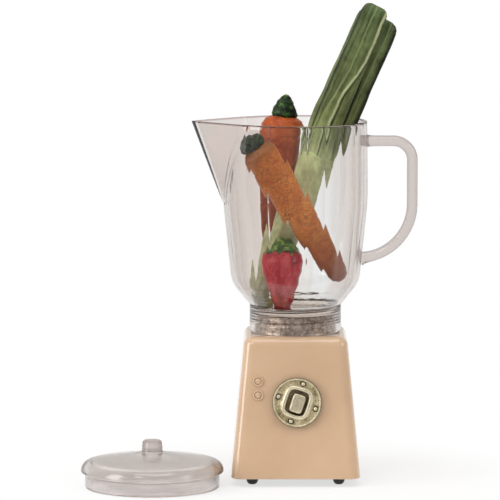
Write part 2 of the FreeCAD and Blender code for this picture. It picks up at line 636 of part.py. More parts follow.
def spout_outline(body, name, side, root):
    """Level section of the spout: two walls that leave the bowl's circle as tangents and meet."""
    wall = "0" if side == "outer" else "Dim.jug_wall"
    circle = "(Dim.jug_rim_radius - %s)" % wall
    half_angle = "asin(Dim.jug_rim_radius / Dim.spout_reach)"
    tip = circle + " / sin(%s)" % half_angle
    touch_x = "%s * sin(%s)" % (circle, half_angle)
    touch_y = "%s * cos(%s)" % (circle, half_angle)
    level = "Dim.jug_height"
    if root:
        level = "Dim.jug_height - Dim.spout_drop"
        tip = circle
        touch_x = circle + " * cos(Dim.spout_root_angle)"
        touch_y = circle + " * sin(Dim.spout_root_angle)"
    return outline(body, name, "XY_Plane",
                   (("-1 * " + tip, "0"), ("-1 * " + touch_x, "-1 * " + touch_y),
                    ("Dim.spout_bite - " + touch_x, "0"), ("-1 * " + touch_x, touch_y)), level)


def jug_collar():
    """Clear ring that screws down over the spigot; the bowl is bonded into its upper end."""
    body = new_body("jug_collar")
    bore = "Dim.collar_radius - Dim.collar_wall"
    profile = outline(body, "profile", "XZ_Plane",
                      ((bore, "0"), ("Dim.collar_radius", "0"),
                       ("Dim.collar_radius", "Dim.collar_height"), (bore, "Dim.collar_height")),
                      bends={1: "Dim.collar_round"})
    spin_round(body, "Revolution", "ring", profile)
    place(body, z=BASE_TOP)


def jug_handle():
    """Bent clear rod; both ends are hollowed to sit on the bowl's wall."""
    body = new_body("jug_handle")
    path = outline(body, "path", "XZ_Plane",
                   (("Dim.jug_sole_radius", "Dim.handle_top_rise"),
                    ("Dim.handle_reach", "Dim.handle_top_rise"),
                    ("Dim.handle_reach", "Dim.handle_heel_rise"),
                    ("Dim.jug_sole_radius", "Dim.handle_foot_rise")),
                   bends={1: "Dim.handle_top_bend", 2: "Dim.handle_low_bend"}, closed=False)
    section = circles(body, "section", "YZ_Plane", [("0", "Dim.handle_top_rise", "Dim.handle_radius")],
                      "Dim.jug_sole_radius")
    rod = add(body, "AdditivePipe", "rod", section, Spine=(path, []))
    rod.Transition = "Transformed"
    wall = outline(body, "wall_profile", "XZ_Plane",
                   (("0", "0"), ("Dim.jug_sole_radius", "0"),
                    ("Dim.jug_hip_radius", "Dim.jug_hip_rise"),
                    ("Dim.jug_waist_radius", "Dim.jug_waist_rise"),
                    ("Dim.jug_rim_radius", "Dim.jug_height"), ("0", "Dim.jug_height")),
                   bends={3: "Dim.jug_waist_bend"})
    spin_round(body, "Groove", "seats", wall)
    place(body, z=NECK)


# %% lid, built about its own axis and laid on the floor

def lid_place(body, z="0"):
    """Lay a lid piece down in front of the spout."""
    place(body, "-Dim.lid_left", "-Dim.lid_front", z)


def lid_shell():
    """Clear lid: plug skirt, overhanging lip with a round shoulder, slightly domed top."""
    body = new_body("lid_shell")
    inside = "Dim.lid_skirt_radius - Dim.lid_wall"
    profile = outline(body, "profile", "XZ_Plane",
                      (("0", "Dim.lid_top_level - Dim.lid_wall"),
                       (inside, "Dim.lid_shoulder_level - Dim.lid_wall"), (inside, "0"),
                       ("Dim.lid_skirt_radius", "0"), ("Dim.lid_skirt_radius", "Dim.lid_lip_level"),
                       ("Dim.lid_lip_radius", "Dim.lid_lip_level"),
                       ("Dim.lid_lip_radius", "Dim.lid_shoulder_level"),
                       ("Dim.lid_top_radius", "Dim.lid_top_level"), ("0", "Dim.lid_top_level")),
                      bends={2: "Dim.lid_hem", 3: "Dim.lid_hem", 6: "Dim.lid_shoulder_bend"})
    spin_round(body, "Revolution", "shell", profile)
    lid_place(body)


def lid_knob():
    """Solid clear knob bonded to the middle of the lid."""
    body = new_body("lid_knob")
    profile = outline(body, "profile", "XZ_Plane",
                      (("0", "0"), ("Dim.knob_radius", "0"), ("Dim.knob_top_radius", "Dim.knob_height"),
                       ("0", "Dim.knob_height")), bends={2: "Dim.knob_round"})
    spin_round(body, "Revolution", "knob", profile)
    lid_place(body, "Dim.lid_top_level")


# %% play food: each thing is built upright about its own axis, then leaned in the jug

def carrot(name, x, y, axis):
    """Carrot root with a leaf stub on its shoulder, both leaned the same way."""
    key = name + "_carrot"
    root = new_body(key)
    length = "Dim.%s_length" % key
    profile = outline(root, "profile", "XZ_Plane",
                      (("0", "0"), ("Dim.%s_tip" % key, "0"),
                       ("Dim.%s_waist" % key, "Dim.root_waist_share * " + length),
                       ("Dim.%s_top" % key, length), ("0", length)),
                      bends={1: "Dim.root_round", 2: "Dim.root_bend", 3: "Dim.shoulder_round"})
    spin_round(root, "Revolution", "root", profile)
    place(root, x, y, "Dim.%s_level" % key, axis, "Dim.%s_lean * 1 deg" % key)
    tuft = new_body(key + "_top")
    radius = "Dim.%s_tuft_radius" % name
    height = "Dim.%s_tuft_height" % name
    stub = outline(tuft, "profile", "XZ_Plane",
                   (("0", length), ("Dim.tuft_foot_share * " + radius, length),
                    (radius, length + " + Dim.tuft_waist_share * " + height),
                    ("Dim.tuft_top_share * " + radius, length + " + " + height),
                    ("0", length + " + " + height)),
                   bends={2: "Dim.tuft_round", 3: "Dim.tuft_round"})
    spin_round(tuft, "Revolution", "stub", stub)
    place(tuft, x, y, "Dim.%s_level" % key, axis, "Dim.%s_lean * 1 deg" % key)


def carrots():
    """One carrot lies across the front, leaning left; the other stands behind, leaning right."""
    carrot("near", "Dim.near_carrot_across", "-Dim.near_carrot_front", (0, -1, 0))
    carrot("far", "-Dim.far_carrot_across", "Dim.far_carrot_back", (0, 1, 0))


def strawberry():
    """Strawberry on its tip, with a ring of leaves on top."""
    floor = NECK + " + Dim.jug_floor - Dim.jug_plug"
    fruit = new_body("strawberry")
    profile = outline(fruit, "profile", "XZ_Plane",
                      (("0", "0"), ("Dim.berry_tip_radius", "0"), ("Dim.berry_radius", "Dim.berry_rise"),
                       ("Dim.berry_crown_radius", "Dim.berry_height"), ("0", "Dim.berry_height")),
                      bends={1: "Dim.berry_tip_round", 2: "Dim.berry_bend", 3: "Dim.berry_bend"})
    spin_round(fruit, "Revolution", "fruit", profile)
    place(fruit, "-Dim.berry_across", "-Dim.berry_front", floor)
    leaves = new_body("strawberry_calyx")
    crown = outline(leaves, "profile", "XZ_Plane",
                    (("0", "Dim.berry_height"), ("Dim.calyx_foot_radius", "Dim.berry_height"),
                     ("Dim.calyx_radius", "Dim.berry_height + Dim.calyx_rise"),
                     ("Dim.calyx_top_radius", "Dim.berry_height + Dim.calyx_height"),
                     ("0", "Dim.berry_height + Dim.calyx_height")))
    spin_round(leaves, "Revolution", "crown", crown)
    place(leaves, "-Dim.berry_across", "-Dim.berry_front", floor)


def leek_place(body):
    """Lean a leek piece; its own Z runs up the leek."""
    place(body, "-Dim.leek_across", "Dim.leek_back", "Dim.leek_level", (0, 1, 0),
          "Dim.leek_lean * 1 deg")


def leek():
    """Leek: a round pale stem that opens into two flat folded leaves, one behind the other."""
    stem = new_body("leek_stem")
    profile = outline(stem, "profile", "XZ_Plane",
                      (("0", "0"), ("Dim.leek_root_radius", "0"),
                       ("Dim.leek_stem_radius", "Dim.leek_stem_share * Dim.leek_stem_length"),
                       ("Dim.leek_stem_radius", "Dim.leek_stem_length"),
                       ("0", "Dim.leek_stem_length")),
                      bends={1: "Dim.leek_leaf_round", 2: "Dim.leek_stem_bend"})
    spin_round(stem, "Revolution", "stem", profile)
    leek_place(stem)
    start = "Dim.leek_stem_length"
    flare = start + " + Dim.leek_leaf_flare"
    rear = new_body("leek_leaf_rear")
    wide = "Dim.leek_leaf_width / 2"
    leaf(rear, (("-Dim.leek_stem_radius", "Dim.leek_stem_radius", start),
                ("-" + wide, wide, flare),
                ("-" + wide, wide, start + " + Dim.leek_leaf_length - Dim.leek_leaf_short")),
         "0", "Dim.leek_leaf_depth")
    front = new_body("leek_leaf_front")
    left = "Dim.leek_front_shift - " + wide
    leaf(front, (("-Dim.leek_stem_radius", "Dim.leek_front_start", start),
                 (left, left + " + Dim.leek_front_width", flare),
                 (left, left + " + Dim.leek_front_width", start + " + Dim.leek_leaf_length")),
         "-Dim.leek_leaf_depth", "0")


def leaf(body, sections, front, back):
    """Flat leaf lofted through rounded sections, each given as left, right and level."""
    outlines = []
    for number, (left, right, level) in enumerate(sections):
        corners = ((left, front), (right, front), (right, back), (left, back))
        outlines.append(outline(body, "section_%d" % number, "XY_Plane", corners, level,
                                bends=dict.fromkeys(range(4), "Dim.leek_leaf_round")))
    add(body, "AdditiveLoft", "blade", outlines[0], Sections=outlines[1:], Ruled=True)
    leek_place(body)


# %% build, check and write

def check_model():
    """Stop if any object failed or any piece has no sound solid."""
    for thing in doc.Objects:
        if "Invalid" in thing.State or "Error" in thing.State:
            raise RuntimeError("%s: %s" % (thing.Name, thing.getStatusString()))
    for piece in pieces:
        if piece.Shape.isNull() or not piece.Shape.isValid() or not piece.Shape.Solids:
            raise RuntimeError("%s has no sound solid" % piece.Label)


def write_parts():
    """One STEP file for each piece, named after its label."""
    os.makedirs("parts", exist_ok=True)
    for piece in pieces:
        piece.Shape.exportStep("parts/%s.step" % piece.Label)
        box = piece.Shape.BoundBox
        print("%-18s %d solid(s) %8.1f mm3  z %5.1f to %5.1f"
              % (piece.Label, len(piece.Shape.Solids), piece.Shape.Volume, box.ZMin, box.ZMax))


for make in (base_housing, base_cover, cover_screws, feet, spigot, spigot_screws, dial_plate,
             dial_rivets, dial_key, dial_spindle, dial_clip, jug_bowl, jug_collar, jug_handle,
             lid_shell, lid_knob, carrots, strawberry, leek):
    make()
doc.recompute()
check_model()
write_parts()
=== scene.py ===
# %% [markdown]
# # A doll's-house blender: enamelled base, clear jug, clear lid and play vegetables
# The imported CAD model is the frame: every piece below sits in its coordinates, in metres, and rides on
# one of its bodies, so the dial turns, the jug lifts off and the food can be taken out. Details could
# be placed by eye, but places read from the CAD boxes keep them seated, so the first cell loads the
# frame and defines two small readers that give those places in millimetres.

# %% Load the frame
import math
import bmesh
import bpy
from mathutils import Matrix, Vector, noise


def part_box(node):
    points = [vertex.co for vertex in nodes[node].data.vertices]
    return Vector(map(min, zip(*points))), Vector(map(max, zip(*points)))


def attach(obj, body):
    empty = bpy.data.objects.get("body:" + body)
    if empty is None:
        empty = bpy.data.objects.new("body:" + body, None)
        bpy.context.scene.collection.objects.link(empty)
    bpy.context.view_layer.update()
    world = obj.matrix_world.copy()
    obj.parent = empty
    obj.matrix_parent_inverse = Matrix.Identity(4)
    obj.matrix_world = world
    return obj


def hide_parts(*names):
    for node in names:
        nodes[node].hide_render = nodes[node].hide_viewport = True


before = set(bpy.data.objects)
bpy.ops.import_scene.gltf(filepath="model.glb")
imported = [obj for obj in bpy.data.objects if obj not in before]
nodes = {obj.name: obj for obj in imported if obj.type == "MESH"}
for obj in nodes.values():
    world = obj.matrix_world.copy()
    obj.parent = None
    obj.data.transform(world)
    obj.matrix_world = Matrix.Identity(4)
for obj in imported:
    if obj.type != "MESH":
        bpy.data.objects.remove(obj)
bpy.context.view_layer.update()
MM = 0.001


def cad_box(node):
    """Lowest and highest corner of a CAD node, in mm."""
    return [[round(value / MM, 1) for value in corner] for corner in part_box(node)]


def cad_foot(node):
    """Middle of a CAD node seen from above, and the height of its lowest point, in mm."""
    (x0, y0, z0), (x1, y1, _) = cad_box(node)
    return round((x0 + x1) / 2, 1), round((y0 + y1) / 2, 1), z0


# %% [markdown]
# ## Helper for colours
# Colours are written as the hex values a paint chart gives. Blender works in linear light, so one
# function converts them all; picked by eye in the colour wheel they would be hard to repeat.

# %% Colours
def linear(hex_text, alpha=1.0):
    """sRGB hex to linear colour."""
    parts = []
    for start in (0, 2, 4):
        value = int(hex_text[start:start + 2], 16) / 255
        parts.append(value / 12.92 if value <= 0.04045 else ((value + 0.055) / 1.055) ** 2.4)
    return (*parts, alpha)


print("mid grey is", [round(v, 3) for v in linear("808080")])

# %% [markdown]
# ## Helpers for finishes
# A finish is a material with one Principled shader and a few nodes that feed it. The helpers start the
# material, fill the sockets of a node and add one node at a time, so that each finish below reads as a
# list of what it is made from. Patterns run in object coordinates, which are metres, so the scale of
# each is worked out from the size of its marks in millimetres.

# %% Nodes
def new_finish(name, **sockets):
    """Material with one Principled shader; sockets are its constants, by their names with _ for spaces."""
    material = bpy.data.materials.new(name)
    material.use_nodes = True
    shader = material.node_tree.nodes["Principled BSDF"]
    for socket, value in sockets.items():
        shader.inputs[socket.replace("_", " ")].default_value = value
    return material, shader


def plug(material, node, inputs):
    """Give sockets of a node their values, or link in what feeds them."""
    for socket, value in inputs.items():
        if isinstance(value, bpy.types.NodeSocket):
            material.node_tree.links.new(value, node.inputs[socket])
        else:
            node.inputs[socket].default_value = value


def add_node(material, kind, inputs=None, stops=(), **settings):
    """One more node: settings are its own options, stops the places and hex colours of a colour ramp."""
    node = material.node_tree.nodes.new("ShaderNode" + kind)
    for name, value in settings.items():
        setattr(node, name, value)
    for _ in stops[2:]:
        node.color_ramp.elements.new(0.5)
    for number, (position, hex_text) in enumerate(stops):
        node.color_ramp.elements[number].position = position
        node.color_ramp.elements[number].color = linear(hex_text)
    plug(material, node, inputs or {})
    return node


def marks(size_mm):
    """Scale of a pattern whose marks are about this size."""
    return 1 / (size_mm * MM)


print("marks of 2 mm have the scale", marks(2.0))

# %% [markdown]
# ## Helper for shapes: skins over rings
# Almost everything here is round or drawn out along an axis: turned, moulded, rolled or bent. So one
# builder is enough: it takes rings of points and skins them with quads. A ring that shrinks to a point
# closes an end, and joining the last ring to the first gives a wall with an inside and an outside.

# %% Skin over rings
def skin(name, rings, finish, body, loop=False, location=(0, 0, 0), lean=(0, "Y")):
    """Mesh over rings of equally many points (in mm), placed in the frame and riding on a body."""
    count = len(rings[0])
    points = [Vector(point) * MM for ring in rings for point in ring]
    faces = []
    for row in range(len(rings) if loop else len(rings) - 1):
        low = row * count
        high = (row + 1) % len(rings) * count
        for column in range(count):
            right = (column + 1) % count
            faces.append((low + column, low + right, high + right, high + column))
    mesh = bpy.data.meshes.new(name)
    mesh.from_pydata(points, [], faces)
    work = bmesh.new()
    work.from_mesh(mesh)
    bmesh.ops.remove_doubles(work, verts=work.verts, dist=1e-7)
    bmesh.ops.recalc_face_normals(work, faces=work.faces)
    for face in work.faces:
        face.smooth = True
    work.to_mesh(mesh)
    work.free()
    mesh.materials.append(finish)
    piece = bpy.data.objects.new(name, mesh)
    bpy.context.scene.collection.objects.link(piece)
    turn = Matrix.Rotation(math.radians(lean[0]), 4, lean[1])
    piece.matrix_world = Matrix.Translation(Vector(location) * MM) @ turn
    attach(piece, body)
    return piece


# %% [markdown]
# ## Helper for shapes: the lathe
# A turned piece is a profile of radius and height, spun round. Blender's screw modifier spins one too,
# but here a wobble function can change the radius round the turn, for a spout, flutes or a thread.

# %% Lathe
def turned(profile, steps, wobble=None):
    """Rings of a lathe profile of (radius, height); wobble(angle, radius, height) gives the radius there."""
    rings = []
    for radius, height in profile:
        ring = []
        for step in range(steps):
            angle = 2 * math.pi * step / steps
            r = wobble(angle, radius, height) if wobble else radius
            ring.append((r * math.cos(angle), r * math.sin(angle), height))
        rings.append(ring)
    return rings


print("a disc of 6 steps has", len(turned([(0.001, 0), (3, 0)], 6)[1]), "points on its rim")

# %% [markdown]
# ## Helper for shapes: rounded profiles
# Real corners are never sharp. A bevel modifier would round all of them alike, so each corner of a
# profile names its own rounding, and long runs are divided so that a wobble can bend them.

# %% Rounded profiles
def corner_arc(before, corner, after, radius, steps):
    """Points of the arc that rounds one corner of a profile."""
    b, c, a = Vector(before), Vector(corner), Vector(after)
    to_b, to_a = (b - c).normalized(), (a - c).normalized()
    half = to_b.angle(to_a) / 2
    reach = radius / math.tan(half)
    centre = c + (to_b + to_a).normalized() * (radius / math.sin(half))
    start, end = c + to_b * reach - centre, c + to_a * reach - centre
    swing = math.pi - 2 * half
    if start.x * end.y - start.y * end.x < 0:
        swing = -swing
    points = []
    for step in range(steps + 1):
        angle = swing * step / steps
        points.append((centre.x + start.x * math.cos(angle) - start.y * math.sin(angle),
                       centre.y + start.x * math.sin(angle) + start.y * math.cos(angle)))
    return points


def rounded(corners, pitch):
    """Profile through corners of (radius, height) or (radius, height, rounding), a point each pitch mm."""
    points = []
    for number, corner in enumerate(corners):
        if len(corner) == 3:
            points += corner_arc(corners[number - 1][:2], corner[:2], corners[number + 1][:2], corner[2],
                                 max(4, int(corner[2] * 3)))
        else:
            points.append(tuple(corner[:2]))
    fine = [points[0]]
    for (r0, z0), (r1, z1) in zip(points, points[1:]):
        parts = max(1, int(math.hypot(r1 - r0, z1 - z0) / pitch))
        for part in range(1, parts + 1):
            fine.append((r0 + (r1 - r0) * part / parts, z0 + (z1 - z0) * part / parts))
    return fine


print("a 3 mm corner rounded by 1 mm has", len(rounded([(0, 0), (3, 0, 1.0), (3, 3)], 5.0)), "points")

# %% [markdown]
# ## Camera
# A long lens far away keeps the base's sides nearly parallel, and a low tilt shows the rims of jug and
# lid as thin ellipses. The picture is square, 500 by 500.

# %% Camera
LENS, SENSOR = 306.7, 36.0
CAMERA_PLACE = (-11.8, -1100.0, 186.4)
CAMERA_TILT = 6.57
camera_data = bpy.data.cameras.new("long_lens")
camera_data.sensor_width = SENSOR
camera_data.lens = LENS
camera_data.clip_start = 0.05
camera_data.clip_end = 30.0
camera = bpy.data.objects.new("camera", camera_data)
bpy.context.scene.collection.objects.link(camera)
camera.location = Vector(CAMERA_PLACE) * MM
camera.rotation_euler = (math.radians(90 - CAMERA_TILT), 0, 0)
bpy.context.scene.camera = camera
print("camera at", [round(v, 3) for v in camera.location])

# %% [markdown]
# ## Floor
# The floor is matt and nearly white. Near the object it takes the soft shadow; further out, where the
# camera, a mirror or a clear piece looks at it, it goes over to the even white of a studio sweep. Extra
# lamps could bleach it too, but they would bleach the object with it. The floor ends a hand's breadth
# in front of the blender: the jug's lower wall would mirror more of it as a veil over the food.

# %% Floor
SHADOW_FROM, SHADOW_TO = 0.03, 0.075
FLOOR_HALF, FLOOR_FRONT = 6.0, 0.075
# Matt white card: it scatters light evenly, so the eye sees its soft shadow and no reflection.
floor_paint, floor_shader = new_finish("matt_white_sweep", Roughness=0.9, Specular_IOR_Level=0.2)
plug(floor_paint, floor_shader, {"Base Color": linear("f4f3f1")})
spot = add_node(floor_paint, "TexCoord")
distance = add_node(floor_paint, "VectorMath", {0: spot.outputs["Object"]}, operation="LENGTH")
far_away = add_node(floor_paint, "MapRange", {"Value": distance.outputs["Value"], "From Min": SHADOW_FROM,
                                              "From Max": SHADOW_TO, "To Min": 0.68, "To Max": 1.0},
                    interpolation_type="SMOOTHSTEP")
ray = add_node(floor_paint, "LightPath")
straight = add_node(floor_paint, "Math", {0: ray.outputs["Is Camera Ray"],
                                          1: ray.outputs["Is Transmission Ray"]}, operation="MAXIMUM")
seen = add_node(floor_paint, "Math", {0: straight.outputs[0], 1: ray.outputs["Is Glossy Ray"]},
                operation="MAXIMUM")
share = add_node(floor_paint, "Math", {0: seen.outputs[0], 1: far_away.outputs[0]}, operation="MULTIPLY")
even_white = add_node(floor_paint, "Emission", {"Color": (1, 1, 1, 1), "Strength": 1.0})
both = add_node(floor_paint, "MixShader", {0: share.outputs[0], 1: floor_shader.outputs[0],
                                           2: even_white.outputs[0]})
plug(floor_paint, floor_paint.node_tree.nodes["Material Output"], {"Surface": both.outputs[0]})

floor_mesh = bpy.data.meshes.new("floor")
floor_mesh.from_pydata([(-FLOOR_HALF, -FLOOR_FRONT, 0), (FLOOR_HALF, -FLOOR_FRONT, 0),
                        (FLOOR_HALF, FLOOR_HALF, 0), (-FLOOR_HALF, FLOOR_HALF, 0)], [], [(0, 1, 2, 3)])
floor_mesh.materials.append(floor_paint)
floor = bpy.data.objects.new("floor", floor_mesh)
bpy.context.scene.collection.objects.link(floor)
print("floor", 2 * FLOOR_HALF, "m across, ending", FLOOR_FRONT, "m in front of the middle")

# %% [markdown]
# ## Room
# A grey room is what gloss and metal mirror, and it gives the enamel and the clear edges their darker
# lines. In a studio the side behind the camera is dim and the backdrop bright, so the room has two
# halves for mirrored rays. The camera sees plain white instead of the room, and so do the clear pieces,
# though a little less of it towards the front.

# %% Room
world = bpy.data.worlds.new("studio")
bpy.context.scene.world = world
world.use_nodes = True
room = add_node(world, "Background", {"Color": (1.0, 0.99, 0.97, 1), "Strength": 0.60})
front_room = add_node(world, "Background", {"Color": (1.0, 0.98, 0.96, 1), "Strength": 0.17})
back_room = add_node(world, "Background", {"Color": (1.0, 0.94, 0.89, 1), "Strength": 0.72})
white = add_node(world, "Background", {"Color": (1, 1, 1, 1), "Strength": 1.0})
ray = add_node(world, "LightPath")
toward = add_node(world, "SeparateXYZ", {"Vector": add_node(world, "TexCoord").outputs["Generated"]})
backwards = add_node(world, "MapRange", {"Value": toward.outputs["Y"], "From Min": -0.05, "From Max": 0.25})
mirrored = add_node(world, "MixShader", {0: backwards.outputs[0], 1: front_room.outputs[0],
                                         2: back_room.outputs[0]})
lit = add_node(world, "MixShader", {0: ray.outputs["Is Glossy Ray"], 1: room.outputs[0],
                                    2: mirrored.outputs[0]})
bright_side = add_node(world, "MapRange", {"Value": backwards.outputs[0], "To Min": 0.6, "To Max": 1.0})
through = add_node(world, "Math", {0: ray.outputs["Is Transmission Ray"], 1: bright_side.outputs[0]},
                   operation="MULTIPLY")
straight = add_node(world, "Math", {0: ray.outputs["Is Camera Ray"], 1: through.outputs[0]},
                    operation="MAXIMUM")
pick = add_node(world, "MixShader", {0: straight.outputs[0], 1: lit.outputs[0], 2: white.outputs[0]})
plug(world, world.node_tree.nodes["World Output"], {"Surface": pick.outputs[0]})
print("room with", len(world.node_tree.nodes), "nodes")

# %% [markdown]
# ## Soft boxes
# Four rectangular lamps light the object: a tall one far left, which draws the long highlight down the
# enamel, a small high one for the crisp glints, a weaker one right and a wide one above for soft tops.
# Point lamps would give hard shadows; a large source close to a small object makes them melt away.

# %% Soft boxes
AIM = (0, 0, 0.05)
# name, place in metres, width, height, watts
soft_boxes = [("left_box", (-1.05, -0.45, 0.42), 0.5, 0.85, 6.6),
              ("high_left_box", (-0.50, -0.95, 0.95), 0.3, 0.3, 1.7),
              ("right_box", (1.0, -0.5, 0.55), 0.36, 0.7, 2.4),
              ("top_box", (0.0, -0.35, 1.15), 0.9, 0.7, 4.3)]
for name, place, width, height, power in soft_boxes:
    data = bpy.data.lights.new(name, "AREA")
    data.shape = "RECTANGLE"
    data.size, data.size_y = width, height
    data.energy = power
    lamp = bpy.data.objects.new(name, data)
    bpy.context.scene.collection.objects.link(lamp)
    lamp.location = place
    lamp.rotation_euler = (Vector(AIM) - Vector(place)).to_track_quat("-Z", "Y").to_euler()
    print(name, "radiance", round(power / (math.pi * width * height), 2))
bpy.context.scene.view_settings.view_transform = "Standard"

# %% [markdown]
# ## Base housing: stoved enamel
# The housing is a die-cast shell sprayed with a warm peach enamel and baked. Enamel is a coloured film
# under a very smooth surface: it mirrors the soft boxes as clean pale bands along the rounded edges.
# The film is never dead flat: an orange-peel ripple about 1.5 mm long and a few specks of dust show.
# The CAD shell already has every edge rounded, so it stays, and only gets this finish.

# %% Peach enamel
# Stoved enamel: a clear-coated gloss, which gives the eye one sharp reflection over an even, milky colour.
enamel, shader = new_finish("peach_stoved_enamel", Roughness=0.2, IOR=1.5, Coat_Weight=0.7,
                            Coat_Roughness=0.04)
where = add_node(enamel, "TexCoord").outputs["Object"]
cloud = add_node(enamel, "TexNoise", {"Vector": where, "Scale": marks(16.7), "Detail": 3.0,
                                      "Roughness": 0.55})
tone = add_node(enamel, "ValToRGB", {"Fac": cloud.outputs["Fac"]}, [(0.30, "c9a888"), (0.70, "d3b393")])
speck = add_node(enamel, "TexVoronoi", {"Vector": where, "Scale": marks(3.85), "Randomness": 1.0})
dust = add_node(enamel, "MapRange", {"Value": speck.outputs["Distance"], "From Min": 0.035, "From Max": 0.06,
                                     "To Min": 0.25, "To Max": 0.0})
dusted = add_node(enamel, "MixRGB", {"Fac": dust.outputs[0], "Color1": tone.outputs["Color"],
                                     "Color2": linear("a98a6c")})
peel = add_node(enamel, "TexNoise", {"Vector": where, "Scale": marks(1.54), "Detail": 2.0})
ripple = add_node(enamel, "Bump", {"Height": peel.outputs["Fac"], "Strength": 0.05, "Distance": 0.4 * MM})
plug(enamel, shader, {"Base Color": dusted.outputs["Color"], "Normal": ripple.outputs["Normal"]})


def wear(node_name, material):
    """Put a finish on a CAD node's own material slots."""
    mesh = nodes[node_name].data
    mesh.materials.clear()
    mesh.materials.append(material)


wear("base_housing", enamel)
print("enamel on base_housing")

# %% [markdown]
# ## Under the base: black moulded cover, zinc-plated screws
# These are hardly seen, but a turn of the toy shows them. Many plain surfaces vary in one way only: the
# same fine noise makes their tone and their relief. One helper builds such a mottled finish, and each
# material gives it the size of its marks, its colours and how deep they lie.

# %% Cover and screws
def mottled(name, mark_mm, detail, stops, grain=0.5, relief=0.0, relief_mm=0.1, **sockets):
    """Finish whose tone and relief follow one noise; grain is how rough the noise's small marks are."""
    material, shader = new_finish(name, **sockets)
    where = add_node(material, "TexCoord").outputs["Object"]
    noise_marks = add_node(material, "TexNoise", {"Vector": where, "Scale": marks(mark_mm), "Detail": detail,
                                                  "Roughness": grain})
    tone = add_node(material, "ValToRGB", {"Fac": noise_marks.outputs["Fac"]}, stops)
    plug(material, shader, {"Base Color": tone.outputs["Color"]})
    if relief:
        bump = add_node(material, "Bump", {"Height": noise_marks.outputs["Fac"], "Strength": relief,
                                           "Distance": relief_mm * MM})
        plug(material, shader, {"Normal": bump.outputs["Normal"]})
    return material


# Black ABS from a spark-eroded mould: a dull, even sheen. Its real grain of 0.05 mm would be too fine to
# show, so it is drawn at 0.4 mm.
cover_black = mottled("black_moulded_abs", 0.4, 2.0, [(0.35, "1f1d1c"), (0.65, "2e2b29")], relief=0.3,
                      Roughness=0.45, IOR=1.53)
wear("base_cover", cover_black)

# Zinc-plated steel: a grey metal with a soft bloom of slightly different greys about a millimetre across.
zinc = mottled("zinc_plated_steel", 1.11, 3.0, [(0.3, "8d8d8a"), (0.7, "b0b0ac")], Metallic=1.0,
               Roughness=0.35)
zinc_nodes = ("cover_screws", "spigot_screws", "dial_spindle", "dial_clip")
for name in zinc_nodes:
    wear(name, zinc)
print("black on the cover, zinc on", len(zinc_nodes), "CAD nodes")

# %% [markdown]
# ## Feet
# Four small dark domes carry the base. They could be cylinders with a bevel, but moulded rubber feet
# bulge like drops, with a flat no wider than a pinhead, so each is turned from a profile that swells
# upwards, at the place of the CAD foot that it stands for.

# %% Feet
# Moulded rubber: matt, with a weak broad sheen, and brown-black where dust has settled in it.
foot_rubber = mottled("dark_moulded_rubber", 0.714, 3.0, [(0.35, "14130d"), (0.7, "35331f")], relief=0.25,
                      Roughness=0.5, IOR=1.52)
foot_profile = [(0.001, 0.0), (0.5, 0.0), (0.8, 0.06), (1.1, 0.25), (1.32, 0.55), (1.48, 0.95), (1.57, 1.4),
                (1.62, 1.9), (1.62, 2.6), (0.001, 2.6)]
for corner in ("front_left", "front_right", "rear_left", "rear_right"):
    dome = skin("foot_dome_" + corner, turned(foot_profile, 48), foot_rubber, "base",
                location=cad_foot("foot_" + corner))
    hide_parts("foot_" + corner)
print("4 feet, the last at", cad_foot("foot_rear_right"), "mm")

# %% [markdown]
# ## Lamps
# Two lamps are moulded into the face, left of the dial, under the same enamel. The CAD discs stay; a
# rounded lip and a little dome on each make the bright rings that pooled enamel shows. They lean with
# the face, whose slope follows from the widths of the base at its foot and its top.

# %% Lamps
FOOT_WIDTH, TOP_WIDTH = 33.4, 26.5
(_, _, STAND_GAP), (_, _, BASE_TOP) = cad_box("base_housing")
FACE_SLOPE = (FOOT_WIDTH - TOP_WIDTH) / 2 / (BASE_TOP - STAND_GAP)
face_lean = (90 - math.degrees(math.atan(FACE_SLOPE)), "X")


def on_face(across, level):
    """Point of the base's front face, left or right of its middle and at a height."""
    return across, -(FOOT_WIDTH / 2 - (level - STAND_GAP) * FACE_SLOPE), level


LAMP_OFFSET, LAMP_LEVEL, LAMP_PITCH, LIP_RADIUS = 9.7, 23.75, 3.6, 1.37
lip_profile = [(LIP_RADIUS, 0.10), (1.36, 0.24), (1.30, 0.32), (1.20, 0.36), (1.08, 0.35), (0.98, 0.29),
               (0.95, 0.18)]
dome_profile = [(0.76, 0.10), (0.74, 0.28), (0.64, 0.38), (0.48, 0.45), (0.26, 0.49), (0.001, 0.50)]
for number in range(2):
    for part, profile in (("lip", lip_profile), ("dome", dome_profile)):
        piece = skin("lamp_%s_%d" % (part, number + 1), turned(profile, 64), enamel, "base",
                     location=on_face(-LAMP_OFFSET, LAMP_LEVEL + number * LAMP_PITCH), lean=face_lean)
print("2 lamps,", 2 * LIP_RADIUS, "mm across")
